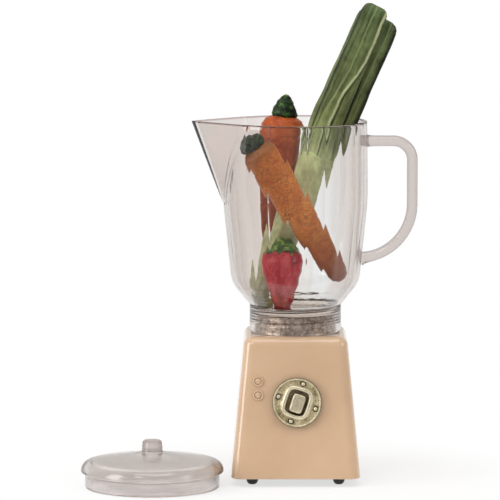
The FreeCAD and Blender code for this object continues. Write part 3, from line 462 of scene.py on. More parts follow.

# %% [markdown]
# ## Dial finish: antique nickel
# The dial is a small white-metal casting, plated with nickel, blackened and rubbed back: bright on the
# high smooth frame and rim, sand-grained and darker on the flat, nearly black in the corners. The height
# above the face tells what was rubbed and ambient occlusion finds the corners, so the wear needs no
# painting by hand. The radius finds the plate's outer slope, where a dark ring is painted contact shadow.

# %% Antique nickel
# Blackened nickel: warm bright metal where rubbed. The dark film between isn't metal, so Metallic is 0.6.
# The casting's sand grain is 0.15 mm; it is drawn at 0.33 mm, or it would not show.
nickel, shader = new_finish("antique_nickel_casting", Metallic=0.6)
where = add_node(nickel, "TexCoord").outputs["Object"]
grit = add_node(nickel, "TexNoise", {"Vector": where, "Scale": marks(0.3333), "Detail": 4.0,
                                     "Roughness": 0.75})
patina = add_node(nickel, "TexNoise", {"Vector": where, "Scale": marks(1.613), "Detail": 4.0,
                                       "Roughness": 0.6})
blend = add_node(nickel, "MixRGB", {"Fac": 0.35, "Color1": grit.outputs["Fac"],
                                    "Color2": patina.outputs["Fac"]})
tone = add_node(nickel, "ValToRGB", {"Fac": blend.outputs["Color"]},
                [(0.40, "75653f"), (0.5, "cdbc92"), (0.60, "f8eecf")])
height = add_node(nickel, "SeparateXYZ", {"Vector": where})
raised = add_node(nickel, "MapRange", {"Value": height.outputs["Z"], "From Min": 1.05 * MM,
                                       "From Max": 1.50 * MM})
half_rubbed = add_node(nickel, "Math", {0: raised.outputs[0], 1: 0.6}, operation="MULTIPLY")
rubbed = add_node(nickel, "MixRGB", {"Fac": half_rubbed.outputs[0], "Color1": tone.outputs["Color"],
                                     "Color2": linear("fbf0d4")})
hollow = add_node(nickel, "AmbientOcclusion", {"Distance": 1.3 * MM}, samples=8)
dark = add_node(nickel, "MapRange", {"Value": hollow.outputs["AO"], "From Min": 0.42, "From Max": 0.93,
                                     "To Min": 1.0, "To Max": 0.0})
aged = add_node(nickel, "MixRGB", {"Fac": dark.outputs[0], "Color1": rubbed.outputs["Color"],
                                   "Color2": linear("4d3e20")})
flat_place = add_node(nickel, "VectorMath", {0: where, 1: (1, 1, 0)}, operation="MULTIPLY")
radius = add_node(nickel, "VectorMath", {0: flat_place.outputs[0]}, operation="LENGTH")
# Painted shadow: a dark ring on the plate's outer slope, where it meets the face.
painted_rim_shadow = add_node(nickel, "MapRange", {"Value": radius.outputs["Value"], "From Min": 6.12 * MM,
                                     "From Max": 6.36 * MM, "To Min": 0.0, "To Max": 0.9})
rim_shadowed = add_node(nickel, "MixRGB", {"Fac": painted_rim_shadow.outputs[0], "Color1": aged.outputs["Color"],
                                    "Color2": linear("33281a")})
rough = add_node(nickel, "MapRange", {"Value": raised.outputs[0], "To Min": 0.5, "To Max": 0.24})
depth = add_node(nickel, "MapRange", {"Value": raised.outputs[0], "To Min": 1.0, "To Max": 0.3})
sand = add_node(nickel, "Bump", {"Height": grit.outputs["Fac"], "Strength": depth.outputs[0],
                                 "Distance": 0.3 * MM})
plug(nickel, shader, {"Base Color": rim_shadowed.outputs["Color"], "Roughness": rough.outputs[0],
                      "Normal": sand.outputs["Normal"]})
print("nickel with", len(nickel.node_tree.nodes), "nodes")

# %% [markdown]
# ## Dial plate
# A round plate carries a raised, nearly square frame round the key. Its edges are all soft, as those of
# small castings are, so a few booleans and bevels would look too hard. It is skinned from rings whose
# outline goes from the frame's rounded rectangle out to the plate's circle, over the back and in again.

# %% Dial plate
DIAL_ACROSS, DIAL_LEVEL, DIAL_TURN = 0.3, 21.9, 18.3
dial_place = on_face(DIAL_ACROSS, DIAL_LEVEL)


def key_ring(half_width, half_length, power, height, steps=144):
    """Ring turned with the dial, from an ellipse (power 2) to a rounded rectangle (power 4 and more)."""
    turn = math.radians(DIAL_TURN)
    ring = []
    for step in range(steps):
        angle = 2 * math.pi * step / steps
        c, s = abs(math.cos(angle)), abs(math.sin(angle))
        reach = ((c / half_width) ** power + (s / half_length) ** power) ** (-1 / power)
        ring.append((reach * math.cos(angle - turn), reach * math.sin(angle - turn), height))
    return ring


# half width, half length, power, height above the housing's face: from the middle outwards and under
plate_steps = [
    (0.01, 0.01, 4.0, 0.90), (1.6, 2.2, 4.5, 0.90), (2.30, 2.75, 4.5, 0.90), (2.46, 2.92, 4.6, 0.95),
    (2.54, 3.02, 4.6, 1.15), (2.62, 3.10, 4.5, 1.42), (2.74, 3.22, 4.3, 1.64), (2.92, 3.38, 4.2, 1.78),
    (3.12, 3.56, 4.0, 1.84), (3.32, 3.74, 3.8, 1.82), (3.52, 3.92, 3.6, 1.72), (3.70, 4.08, 3.4, 1.55),
    (3.86, 4.22, 3.2, 1.36), (4.02, 4.34, 3.0, 1.20), (4.20, 4.48, 2.8, 1.09), (4.42, 4.66, 2.5, 1.03),
    (4.80, 4.95, 2.2, 1.00), (5.45, 5.48, 2.0, 1.00), (5.60, 5.60, 2.0, 1.03), (5.70, 5.70, 2.0, 1.12),
    (5.80, 5.80, 2.0, 1.24), (5.95, 5.95, 2.0, 1.33), (6.10, 6.10, 2.0, 1.34), (6.26, 6.26, 2.0, 1.28),
    (6.36, 6.36, 2.0, 1.15), (6.40, 6.40, 2.0, 0.95), (6.40, 6.40, 2.0, 0.20), (6.30, 6.30, 2.0, 0.10),
    (0.86, 0.86, 2.0, 0.10), (0.86, 0.86, 2.0, 0.30), (0.01, 0.01, 2.0, 0.30)]
plate = skin("dial_casting", [key_ring(*step) for step in plate_steps], nickel, "dial", location=dial_place,
             lean=face_lean)
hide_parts("dial_plate")
print("dial plate with", len(plate.data.vertices), "points")

# %% [markdown]
# ## Key
# The key is a little block, slightly wider at its foot, with every edge softened. It sits a touch off
# the plate's middle, as hand-fitted parts do, so its rings are shifted as a whole.

# %% Key
KEY_SHIFT = (0.12, -0.22)
# half width, half length, power, height
key_steps = [
    (0.01, 0.01, 5.0, 0.92), (1.92, 2.56, 5.0, 0.92), (1.84, 2.50, 5.5, 1.20), (1.72, 2.44, 6.0, 1.60),
    (1.62, 2.38, 6.0, 1.86), (1.53, 2.29, 6.0, 2.01), (1.42, 2.17, 6.0, 2.09), (1.25, 2.00, 6.0, 2.11),
    (0.01, 0.01, 6.0, 2.12)]


def shifted(rings, across, along_it):
    """The same rings, moved sideways."""
    return [[(x + across, y + along_it, z) for x, y, z in ring] for ring in rings]


key = skin("dial_finger_key", shifted([key_ring(*step) for step in key_steps], *KEY_SHIFT), nickel, "dial",
           location=dial_place, lean=face_lean)
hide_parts("dial_key")
print("key", 2 * key_steps[1][0], "by", 2 * key_steps[1][1], "mm")

# %% [markdown]
# ## Rivets
# Four round-headed rivets hold the plate. Each is a ball set into it, with a thin dark ring round it
# where the black of the ageing bath has stayed, and that ring is a disc of its own under the ball.

# %% Rivets
# Blackened nickel that nobody rubs: nearly black, with the metal only just showing through.
seat_black = mottled("blackened_nickel_seat", 0.4, 3.0, [(0.35, "2a2214"), (0.65, "55482c")], Metallic=0.6,
                     Roughness=0.5)
RIVET_CIRCLE, RIVET_RADIUS, RIVET_CENTRE, RIVET_FLATNESS = 5.0, 0.54, 1.12, 0.8
rivet_profile = [(0.001, 0.70), (0.5, 0.70), (0.5, 1.00)]
for step in range(9):
    tilt = math.radians(-15 + 105 * step / 8)
    rivet_profile.append((max(0.001, RIVET_RADIUS * math.cos(tilt)),
                          RIVET_CENTRE + RIVET_RADIUS * math.sin(tilt) * RIVET_FLATNESS))
seat_profile = [(0.001, 0.90), (0.84, 0.90), (0.84, 1.01), (0.80, 1.03), (0.001, 1.03)]
for number in range(4):
    angle = math.radians(90 * number - DIAL_TURN)
    for part, profile, finish in (("rivet", rivet_profile, nickel), ("rivet_seat", seat_profile, seat_black)):
        rings = shifted(turned(profile, 28), RIVET_CIRCLE * math.cos(angle), RIVET_CIRCLE * math.sin(angle))
        piece = skin("dial_%s_%d" % (part, number + 1), rings, finish, "dial", location=dial_place,
                     lean=face_lean)
        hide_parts("dial_rivets")
print("4 rivets,", 2 * RIVET_RADIUS, "mm across")

# %% [markdown]
# ## Clear plastic
# Jug, collar and lid are moulded from clear acrylic, IOR about 1.49, and the handle is bent from a rod
# of it. Such plastic isn't colourless: it takes a little light in every millimetre, so rims and edges,
# where one looks along the wall, are greyer. Absorption inside the wall gives that. On top of it, light
# and shade are painted into the colour: a Layer Weight paints what is seen edge-on in a tint of its own,
# tints across the frame paint darker sides and a bright band down the middle, and a tint from a height
# up paints the top. The surface has faint lines along the mould's opening direction, and the worn pieces
# have rubbed bands round them.

# %% Clear plastic
def clear_plastic(name, painted_side_tints, painted_edge_tint, haze, painted_top=None, clarity=1.0, scuffs=0.0):
    """Clear acrylic with painted light: three side tints in upright bands, a tint edge-on, and a height with
    the tint painted above it.
    """
    plastic, shader = new_finish(name, Roughness=haze, IOR=1.49, Transmission_Weight=clarity)
    where = add_node(plastic, "TexCoord").outputs["Object"]
    place = add_node(plastic, "SeparateXYZ", {"Vector": where})
    stretch = add_node(plastic, "Mapping", {"Vector": where, "Scale": (1.0, 1.0, 0.06)})
    bands = add_node(plastic, "TexNoise", {"Vector": stretch.outputs[0], "Scale": marks(5.26), "Detail": 2.0})
    shift = add_node(plastic, "Math", {0: bands.outputs["Fac"], 1: 20 * MM}, operation="MULTIPLY")
    # Painted light: tints across the frame's X, wobbled by the bands, paint darker sides and a bright middle
    # band of painted reflection.
    spot = add_node(plastic, "Math", {0: place.outputs["X"], 1: shift.outputs[0]}, operation="ADD")
    share = add_node(plastic, "MapRange", {"Value": spot.outputs[0], "From Min": -10 * MM,
                                           "From Max": 30 * MM})
    left, middle, right = painted_side_tints
    colour = add_node(plastic, "ValToRGB", {"Fac": share.outputs[0]},
                      [(0.42, left), (0.62, middle), (0.72, middle), (0.85, right)])
    # Painted light: above a height the colour goes to a tint of its own, painted shade on the jug's rim and a
    # painted lighter top on the lid.
    if painted_top:
        painted_top_from, painted_top_tint = painted_top
        painted_top_mask = add_node(plastic, "MapRange", {"Value": place.outputs["Z"], "From Min": painted_top_from * MM,
                                                 "From Max": (painted_top_from + 0.3) * MM})
        colour = add_node(plastic, "MixRGB", {"Fac": painted_top_mask.outputs[0], "Color1": colour.outputs["Color"],
                                              "Color2": linear(painted_top_tint)})
    if scuffs:
        round_it = add_node(plastic, "Mapping", {"Vector": where, "Scale": (0.25, 0.25, 4.0)})
        rubs = add_node(plastic, "TexNoise", {"Vector": round_it.outputs[0], "Scale": marks(2.38),
                                              "Detail": 5.0, "Roughness": 0.7})
        worn = add_node(plastic, "MapRange", {"Value": rubs.outputs["Fac"], "From Min": 0.38,
                                              "From Max": 0.62, "To Min": 1.0 - scuffs, "To Max": 1.0})
        colour = add_node(plastic, "MixRGB", {"Fac": 1.0, "Color1": colour.outputs["Color"],
                                              "Color2": worn.outputs[0]}, blend_type="MULTIPLY")
    # Painted light: what is seen edge-on gets a tint of its own, painted shade on most pieces and a painted
    # pale sheen on the lid.
    painted_edge_mask = add_node(plastic, "LayerWeight", {"Blend": 0.35})
    colour = add_node(plastic, "MixRGB", {"Fac": painted_edge_mask.outputs["Facing"], "Color1": colour.outputs["Color"],
                                          "Color2": linear(painted_edge_tint)})
    drawn = add_node(plastic, "TexNoise", {"Vector": stretch.outputs[0], "Scale": marks(1.11), "Detail": 2.0})
    flow = add_node(plastic, "Bump", {"Height": drawn.outputs["Fac"], "Strength": 0.06, "Distance": 0.2 * MM})
    plug(plastic, shader, {"Base Color": colour.outputs["Color"], "Normal": flow.outputs["Normal"]})
    deep = add_node(plastic, "VolumeAbsorption", {"Color": linear("cbbdb6"), "Density": 22.0})
    plug(plastic, plastic.node_tree.nodes["Material Output"], {"Volume": deep.outputs[0]})
    return plastic


print("the clear plastic's upright bands have the scale", round(marks(5.26)))

# %% [markdown]
# Five pieces, five states of the same plastic. The jug is polished and nearly colourless; the collar is
# dulled by its threads; the bent handle is thick, so it looks grey; lid and knob are hazy from handling.

# %% Five clear pieces
# Moulded acrylic: sharp, water-clear, with painted shade at its rim and edges and a painted bright band down
# its middle.
jug_clear = clear_plastic("clear_moulded_acrylic", ("f4efec", "fcfefe", "f6f3f1"), "a39389", 0.015,
                          painted_top=(47.3, "a98e90"))
# The same, scuffed where it is screwed on: it blurs the metal behind it. Its edges get painted shade.
collar_clear = clear_plastic("clear_acrylic_scuffed_by_threads", ("f6f0eb", "f6f0eb", "f2ece7"), "d8cec8",
                             0.10)
# A drawn rod: smooth, with painted shade along its edges, where it bends the light most.
handle_clear = clear_plastic("clear_drawn_acrylic_rod", ("d4cac7", "d4cac7", "d8cfcb"), "665a58", 0.03)
# The lid: hazy, with a painted pale sheen on its edges, a painted lighter top above its skirt, and rubbed
# bands.
lid_clear = clear_plastic("clear_acrylic_with_scuffs", ("dbd2cf", "dbd2cf", "ddd5d1"), "fcf6f2", 0.14,
                          painted_top=(3.8, "f2eeeb"), scuffs=0.22)
# The knob: turned, so its surface scatters some of the light and it looks a little milky. Its edges get
# painted shade.
knob_clear = clear_plastic("clear_turned_acrylic", ("f0e8e5", "f0e8e5", "f0e8e5"), "b3a09b", 0.10,
                           clarity=0.85, scuffs=0.1)
print("five clear plastics")

# %% [markdown]
# ## Jug: the spout
# The bowl is moulded round with a rounded hip, and its mouth is drawn out to a pouring spout. Sculpting
# could pull it out of a round bowl, but a formula keeps the wall even: at each height the spout's
# outline is two tangents from the bowl's circle to a nose, and further down the nose comes closer.

# %% Spout
NECK = cad_box("jug_collar")[1][2]
RIM = round(cad_box("jug_bowl")[1][2] - NECK, 1)
SPOUT_REACH = -cad_box("jug_bowl")[0][0]
SPOUT_DROP, RIM_RADIUS, WALL, NOSE = 21.5, 18.6, 1.1, 0.05
SPOUT_FOOT, SPOUT_ROOT = RIM - SPOUT_DROP, math.radians(10)


def spout_radius(angle, height, wall):
    """Distance of the spout's wall from the jug's axis in one direction, or 0 where there is none."""
    rise = (height - SPOUT_FOOT) / SPOUT_DROP
    if rise <= 0:
        return 0.0
    off = abs(angle % (2 * math.pi) - math.pi)
    circle = RIM_RADIUS - wall
    half = math.asin(RIM_RADIUS / SPOUT_REACH)
    tip = circle + (circle / math.sin(half) - circle) * rise
    touch_x = circle * math.cos(SPOUT_ROOT) + (circle * math.sin(half) - circle * math.cos(SPOUT_ROOT)) * rise
    touch_y = circle * math.sin(SPOUT_ROOT) + (circle * math.cos(half) - circle * math.sin(SPOUT_ROOT)) * rise
    if off > math.atan2(touch_y, touch_x):
        return 0.0
    side = math.sqrt(math.sin(off) ** 2 + NOSE ** 2) - NOSE
    return tip * touch_y / (touch_y * math.cos(off) + (tip - touch_x) * side)


print("spout", round(SPOUT_REACH - RIM_RADIUS, 1), "mm past the rim and", SPOUT_DROP, "mm deep")

# %% [markdown]
# ## Jug: the flutes
# Inside, the wall is fluted: 22 shallow channels run from the hip to the rim. Each channel is a weak
# lens, and that is what breaks the vegetables behind it into upright strips. A bump in the material
# wouldn't bend the view, so the inner radius really changes round the turn, by a smooth table of how
# deep the flutes are at each height.

# %% Flutes
FLUTES, FLUTE_DEPTH, FLUTES_END = 22, 0.17, 40


def along(table, height):
    """Smooth value from a table of (height, value)."""
    if height <= table[0][0]:
        return table[0][1]
    for (h0, v0), (h1, v1) in zip(table, table[1:]):
        if height <= h1:
            part = (height - h0) / (h1 - h0)
            part = part * part * (3 - 2 * part)
            return v0 + (v1 - v0) * part
    return table[-1][1]


def flute(angle, height):
    """Change of the inner radius: channels that fade in above the hip and end beside the spout."""
    part = (angle / (2 * math.pi) * FLUTES) % 1.0
    channel = 1 - (2 * part - 1) ** 2
    fade = along([(2.0, 0.0), (11.0, 1.0)], height) * along([(0.15, 0.12), (0.75, 1.0)], abs(math.sin(angle)))
    if height > SPOUT_FOOT:
        turn = abs(angle % (2 * math.pi) - math.pi)
        away = min(1.0, max(0.0, (math.degrees(turn) - FLUTES_END) / 12))
        lip = min(1.0, (height - SPOUT_FOOT) / 6.0)
        fade *= away + (1 - away) * (1 - lip)
    return FLUTE_DEPTH * (channel - 0.6) * fade


print(FLUTES, "flutes, at most", round(0.6 * FLUTE_DEPTH, 2), "mm into the wall")

# %% [markdown]
# ## Jug: the bowl
# The wall is one closed skin: up the outside, over the rounded rim and down the inside, so light passes
# a real thickness of plastic. A solidify modifier would give the flutes to both sides.

# %% Jug bowl
JUG_STEPS = FLUTES * 18
BOWL_FLOOR = 9.7
bowl_outside = rounded([(0.001, -2.1), (10.75, -2.1, 0.2), (10.75, 0.0), (11.8, 0.0), (16.57, 5.8, 8.0),
                        (18.85, 27.5, 60.0), (18.6, 47.55)], 0.8)
bowl_rim = [(18.58, 47.66), (18.50, 47.76), (18.40, 47.80), (17.72, 47.80), (17.60, 47.76), (17.53, 47.66)]
bowl_inside = rounded([(17.5, 47.5), (17.75, 27.5, 58.9), (15.47, 6.25, 6.9), (9.6, -1.0, 1.5),
                       (0.001, -1.0)], 0.8)


def outer_wall(angle, radius, height):
    """Outside radius of the bowl with its spout."""
    spout = spout_radius(angle, height, 0.0)
    return max(radius, spout - RIM_RADIUS + radius) if spout > 0 else radius


def inner_wall(angle, radius, height):
    """Inside radius of the bowl with its flutes and its spout."""
    r = radius + flute(angle, height) if radius > BOWL_FLOOR else radius
    spout = spout_radius(angle, height, WALL)
    return max(r, radius, spout - (RIM_RADIUS - WALL) + radius) if spout > 0 else r


jug_rings = turned(bowl_outside + bowl_rim[:3], JUG_STEPS, outer_wall)
jug_rings += turned(bowl_rim[3:] + bowl_inside, JUG_STEPS, inner_wall)
bowl = skin("jug_fluted_bowl", jug_rings, jug_clear, "jug", location=(0, 0, NECK))
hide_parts("jug_bowl")
spout_tip = min(vertex.co.x for vertex in bowl.data.vertices)
print("bowl of", len(bowl.data.vertices), "points, spout to", round(spout_tip / MM, 2), "mm")

# %% [markdown]
# ## Handle
# The handle is a clear rod bent while warm. A curve with a round bevel would do for the rod, but this
# one spreads a little where it is cemented to the bowl, so rings are set square to the path instead,
# and the first and last of them are wider.

# %% Handle
ROD, ROD_STEPS = 1.4, 28
ROD_SPREAD, SPREAD_RINGS = 0.35, 1.1
handle_path = rounded([(17.9, 42.6), (30.3, 42.6, 5.0), (30.3, 15.0, 14.0), (16.9, 11.9)], 0.7)
handle_rings = []
for number, (x, z) in enumerate(handle_path):
    before = handle_path[max(0, number - 1)]
    after = handle_path[min(len(handle_path) - 1, number + 1)]
    run = Vector((after[0] - before[0], after[1] - before[1])).normalized()
    from_wall = min(number, len(handle_path) - 1 - number)
    spread = 1 + ROD_SPREAD * math.exp(-from_wall / SPREAD_RINGS)
    ring = []
    for step in range(ROD_STEPS):
        angle = 2 * math.pi * step / ROD_STEPS
        out, side = ROD * spread * math.cos(angle), ROD * spread * math.sin(angle)
        ring.append((x - run.y * out, side, z + run.x * out))
    handle_rings.append(ring)
ends = [[(x, 0.0, z)] * ROD_STEPS for x, z in (handle_path[0], handle_path[-1])]
handle_rings = [ends[0]] + handle_rings + [ends[1]]
handle = skin("jug_bent_handle", handle_rings, handle_clear, "jug", location=(0, 0, NECK))
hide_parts("jug_handle")
print("handle of", len(handle_path), "rings")

# %% [markdown]
# ## Screw neck: the spigot
# The jug ends in a clear collar with a coarse thread inside, screwed over a nickel-plated spigot. The
# two threads, one seen through the other, make the stack of light and dark lines at the neck. A screw
# modifier makes a helix too, but as a wobble of the radius it stays part of the turned side: a rounded
# wave that climbs one pitch in each turn.

# %% Spigot
PITCH, CREST = 1.5, 0.28
SPIGOT_RADIUS = 10.5


def thread(side, crest):
    """Rounded thread cut crest mm into the side of that radius, fading out towards its foot."""
    def wobble(angle, radius, height):
        if abs(radius - side) > 0.02:
            return radius
        phase = (height / PITCH - angle / (2 * math.pi)) % 1.0
        fade = along([(1.6, 0.0), (3.2, 1.0)], height)
        return radius - crest * fade * (0.5 + 0.5 * math.cos(2 * math.pi * phase))
    return wobble


# Nickel plate over zinc, worn by the thread: a greyish metal, cloudy in marks about a millimetre across.
spigot_metal = mottled("nickel_plated_zinc", 1.11, 6.0, [(0.38, "7a6f67"), (0.62, "d6cbc2")], grain=0.75,
                       relief=0.5, relief_mm=0.3, Metallic=1.0, Roughness=0.42)
spigot_side = [(SPIGOT_RADIUS, 0.35 + 0.1 * step) for step in range(37)]
spigot_profile = [(0.001, 0.0), (10.3, 0.0), (10.45, 0.2)] + spigot_side
spigot_profile += [(10.1, 4.3), (9.9, 4.55), (9.6, 4.6), (0.001, 4.6)]
spigot_rings = turned(spigot_profile, 144, thread(SPIGOT_RADIUS, CREST))
spigot = skin("threaded_spigot", spigot_rings, spigot_metal, "base", location=(0, 0, BASE_TOP))
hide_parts("spigot")
print("spigot thread of", PITCH, "mm pitch")

# %% [markdown]
# ## Screw neck: the collar
# The collar is a ring of clear plastic, so its profile is a closed loop: up the smooth outside, over
# the top and down the inside, where the same thread, a little shallower, is cut into the bore.

# %% Collar
BORE, COLLAR_RADIUS = 10.82, 11.9
collar_out = [(BORE, 0.05), (11.4, 0.0), (11.75, 0.15), (COLLAR_RADIUS, 0.5)]
collar_out += [(COLLAR_RADIUS, 0.5 + 0.5 * step) for step in range(1, 13)]
collar_out += [(COLLAR_RADIUS, 6.8), (11.8, 6.98), (11.5, 7.0)]
collar_in = [(10.95, 7.0), (BORE, 6.9)] + [(BORE, 6.8 - 0.1 * step) for step in range(67)]
collar_rings = turned(collar_out + collar_in, 144, thread(BORE, CREST * 0.8))
collar = skin("threaded_collar", collar_rings, collar_clear, "jug", loop=True, location=(0, 0, BASE_TOP))
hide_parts("jug_collar")
print("collar", 2 * COLLAR_RADIUS, "mm across")

# %% [markdown]
# ## Lid and knob
# A shallow clear cap: a skirt that drops into the jug, a lip that rests on its rim, a quarter-round
# shoulder and a nearly flat top. The turned knob is cemented on, and its skin is left open below: two
# clear faces in one plane would show as a black line.

# %% Lid and knob
LID = cad_foot("lid_shell")
LID_RADIUS = 18.4
lid_profile = rounded([(0.001, 8.0), (16.35, 5.45, 1.6), (16.35, 0.0, 0.4), (17.35, 0.0, 0.4), (17.35, 4.0),
                       (18.25, 4.0), (LID_RADIUS, 4.15), (LID_RADIUS, 6.45, 2.4), (3.0, 9.0),
                       (0.001, 9.0)], 0.7)
lid = skin("lid_cap", turned(lid_profile, 240), lid_clear, "lid", location=LID)
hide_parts("lid_shell")
knob_profile = rounded([(2.9, 9.01), (2.75, 9.2), (2.45, 12.2, 0.7), (0.001, 12.2)], 0.4)
knob = skin("lid_turned_knob", turned(knob_profile, 96), knob_clear, "lid", location=LID)
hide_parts("lid_knob")
print("lid", 2 * LID_RADIUS, "mm across at", LID)

# %% [markdown]
# ## Play food: rolled clay
# The vegetables are modelled by hand from air-drying clay, painted and varnished. Hand-rolled clay is
# never quite round. A displace modifier could roughen it, but then every piece would be rough alike, so
# each gets slow waves and small dents from seeded noise, and on top of these its own details.

# %% Clay helpers
def clay(point, size, seed):
    """Smooth noise from -1 to 1, with bumps about size mm across."""
    return noise.noise(Vector(point) / size + Vector((seed * 7.3, seed * 3.1, seed * 1.7)))


def rolled(table, steps, pitch, seed, waves, dents, extra=None):
    """Rings of a rolled piece along Z, through a table of (height, radius); extra adds to the radius."""
    rings = []
    length = table[-1][0]
    count = int(length / pitch)
    for row in range(count + 1):
        height = length * row / count
        ring = []
        for step in range(steps):
            angle = 2 * math.pi * step / steps
            r = along(table, height)
            spot = (r * math.cos(angle), r * math.sin(angle), height)
            if r > 0.05:
                r += waves * clay(spot, 5.0, seed) + dents * clay(spot, 1.6, seed + 1)
                if extra:
                    r += extra(angle, height)
            ring.append((r * math.cos(angle), r * math.sin(angle), height))
        rings.append(ring)
    return rings


print("clay noise at the origin", round(clay((0, 0, 0), 5.0, 1), 3))

# %% [markdown]
# ## Carrot finish
# Painted clay carries washes: thin orange coats that gather darker in the creases, a brown tip, and
# green that runs down from the leaf stub. Brushed by hand they would follow the shape; here noise
# squeezed along the root makes the creases, and the height along it says where tip and shoulder are.

# %% Carrot finish
def carrot_paint(name, light, mid, deep, green_from):
    """Washes of light, mid and deep orange, greenish from a height up; satin varnish softens the lamps."""
    paint, shader = new_finish(name, Roughness=0.42, IOR=1.48, Specular_IOR_Level=0.35)
    where = add_node(paint, "TexCoord").outputs["Object"]
    wash = add_node(paint, "TexNoise", {"Vector": where, "Scale": marks(3.846), "Detail": 6.0,
                                        "Roughness": 0.65, "Distortion": 0.6})
    tone = add_node(paint, "ValToRGB", {"Fac": wash.outputs["Fac"]},
                    [(0.28, deep), (0.50, mid), (0.74, light)])
    squeeze = add_node(paint, "Mapping", {"Vector": where, "Scale": (1.0, 1.0, 3.0)})
    crease = add_node(paint, "TexNoise", {"Vector": squeeze.outputs[0], "Scale": marks(4.167), "Detail": 5.0,
                                          "Roughness": 0.7})
    line = add_node(paint, "MapRange", {"Value": crease.outputs["Fac"], "From Min": 0.57, "From Max": 0.66,
                                        "To Max": 0.75})
    lined = add_node(paint, "MixRGB", {"Fac": line.outputs[0], "Color1": tone.outputs["Color"],
                                       "Color2": linear(deep)})
    crackle = add_node(paint, "TexVoronoi", {"Vector": squeeze.outputs[0], "Scale": marks(1.923)},
                       feature="DISTANCE_TO_EDGE")
    crack = add_node(paint, "MapRange", {"Value": crackle.outputs["Distance"], "From Min": 0.02,
                                         "From Max": 0.13, "To Min": 0.6, "To Max": 0.0})
    broken = add_node(paint, "MapRange", {"Value": wash.outputs["Fac"], "From Min": 0.42, "From Max": 0.52})
    here_only = add_node(paint, "Math", {0: crack.outputs[0], 1: broken.outputs[0]}, operation="MULTIPLY")
    cracked = add_node(paint, "MixRGB", {"Fac": here_only.outputs[0], "Color1": lined.outputs["Color"],
                                         "Color2": linear("8a3c26")})
    height = add_node(paint, "SeparateXYZ", {"Vector": where})
    low = add_node(paint, "MapRange", {"Value": height.outputs["Z"], "From Min": 3 * MM, "From Max": 17 * MM,
                                       "To Min": 0.75, "To Max": 0.0})
    tipped = add_node(paint, "MixRGB", {"Fac": low.outputs[0], "Color1": cracked.outputs["Color"],
                                        "Color2": linear("96400e")})
    shoulder = add_node(paint, "MapRange", {"Value": height.outputs["Z"], "From Min": green_from * MM,
                                            "From Max": (green_from + 6.0) * MM, "To Max": 0.7},
                        interpolation_type="SMOOTHSTEP")
    topped = add_node(paint, "MixRGB", {"Fac": shoulder.outputs[0], "Color1": tipped.outputs["Color"],
                                        "Color2": linear("5a4a22")})
    fine = add_node(paint, "TexNoise", {"Vector": squeeze.outputs[0], "Scale": marks(2.38), "Detail": 4.0})
    dent = add_node(paint, "Bump", {"Height": fine.outputs["Fac"], "Strength": 0.5, "Distance": 0.3 * MM})
    plug(paint, shader, {"Base Color": topped.outputs["Color"], "Normal": dent.outputs["Normal"]})
    return paint


# Varnished clay, satin: soft lights over a brushed, uneven colour. The near root is a light orange, the
# far one a darker red-orange.
near_orange = carrot_paint("varnished_clay_orange", "f2a63c", "e08026", "a84414", 35.5)
far_orange = carrot_paint("varnished_clay_red_orange", "cd7428", "b24e14", "742c10", 60.0)
print("two carrot finishes")

# %% [markdown]
# ## Carrots
# A rolled root with ring creases that run only part of the way round, as on the real vegetable. Each
# crease is a narrow groove whose depth fades in and out with the angle and whose level wanders a
# little. Both carrots stand in the jug on their tips, leaning against its wall.

# %% Carrots
CREASE_WIDTH, CREASE_DEPTH = 0.28, 0.32
NEAR_STAND = {"location": (12.0, -6.6, 52.7), "lean": (-33.0, "Y")}
FAR_STAND = {"location": (-6.6, 8.0, 61.2), "lean": (6.4, "Y")}


def creases(levels, seed):
    """Grooves round the root at given heights, each over part of the circle."""
    def groove(angle, height):
        depth = 0.0
        for number, level in enumerate(levels):
            wander = 0.35 * math.sin(2 * angle + number + seed)
            near = (height - level - wander) / CREASE_WIDTH
            if abs(near) < 3:
                share = max(0.0, math.sin(angle + number * 2.4 + seed)) ** 0.5
                depth -= CREASE_DEPTH * share * math.exp(-near * near)
        return depth
    return groove


near_table = [(0, 0.02), (0.35, 1.4), (1.1, 2.3), (3.0, 2.8), (9, 3.3), (18, 3.95), (27, 4.35), (36, 4.6),
              (38.6, 4.45), (40.2, 3.7), (40.85, 2.6), (41.0, 0.02)]
near_creases = creases([4, 7.5, 12, 17.5, 21, 26.5, 31, 35], 1.0)
near_root = skin("near_carrot_root", rolled(near_table, 72, 0.3, seed=3, waves=0.14, dents=0.06,
                 extra=near_creases), near_orange, "near_carrot", **NEAR_STAND)
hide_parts("near_carrot")

far_table = [(0, 0.02), (0.3, 0.8), (1.0, 1.5), (4, 2.2), (10, 3.3), (17, 4.4), (24, 5.3), (28, 5.7),
             (30.4, 5.6), (31.9, 4.9), (32.7, 3.7), (33.0, 2.4)]
far_creases = creases([6, 10, 15, 19, 24, 28], 2.2)
far_root = skin("far_carrot_root", rolled(far_table, 72, 0.3, seed=5, waves=0.14, dents=0.06,
                extra=far_creases), far_orange, "far_carrot", **FAR_STAND)
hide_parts("far_carrot")
print("carrots of", len(near_root.data.vertices), "and", len(far_root.data.vertices), "points")

# %% [markdown]
# ## Leaf stubs
# A pinched cone on the far carrot and a lumpy button on the near one, both in dark green, lighter on
# their ridges. The same rolled shape serves, with its lumps pushed well out and lobes that
# follow the angle.

# %% Leaf stubs
# Dark green clay: the noise of its relief also sets its tone, nearly black where the relief lies low and
# light on the ridges.
leaf_green = mottled("varnished_clay_dark_green", 1.316, 5.0,
                     [(0.42, "051003"), (0.54, "16350b"), (0.68, "5b8430")], grain=0.65, relief=0.6,
                     relief_mm=0.4, Roughness=0.45, IOR=1.48, Specular_IOR_Level=0.3)


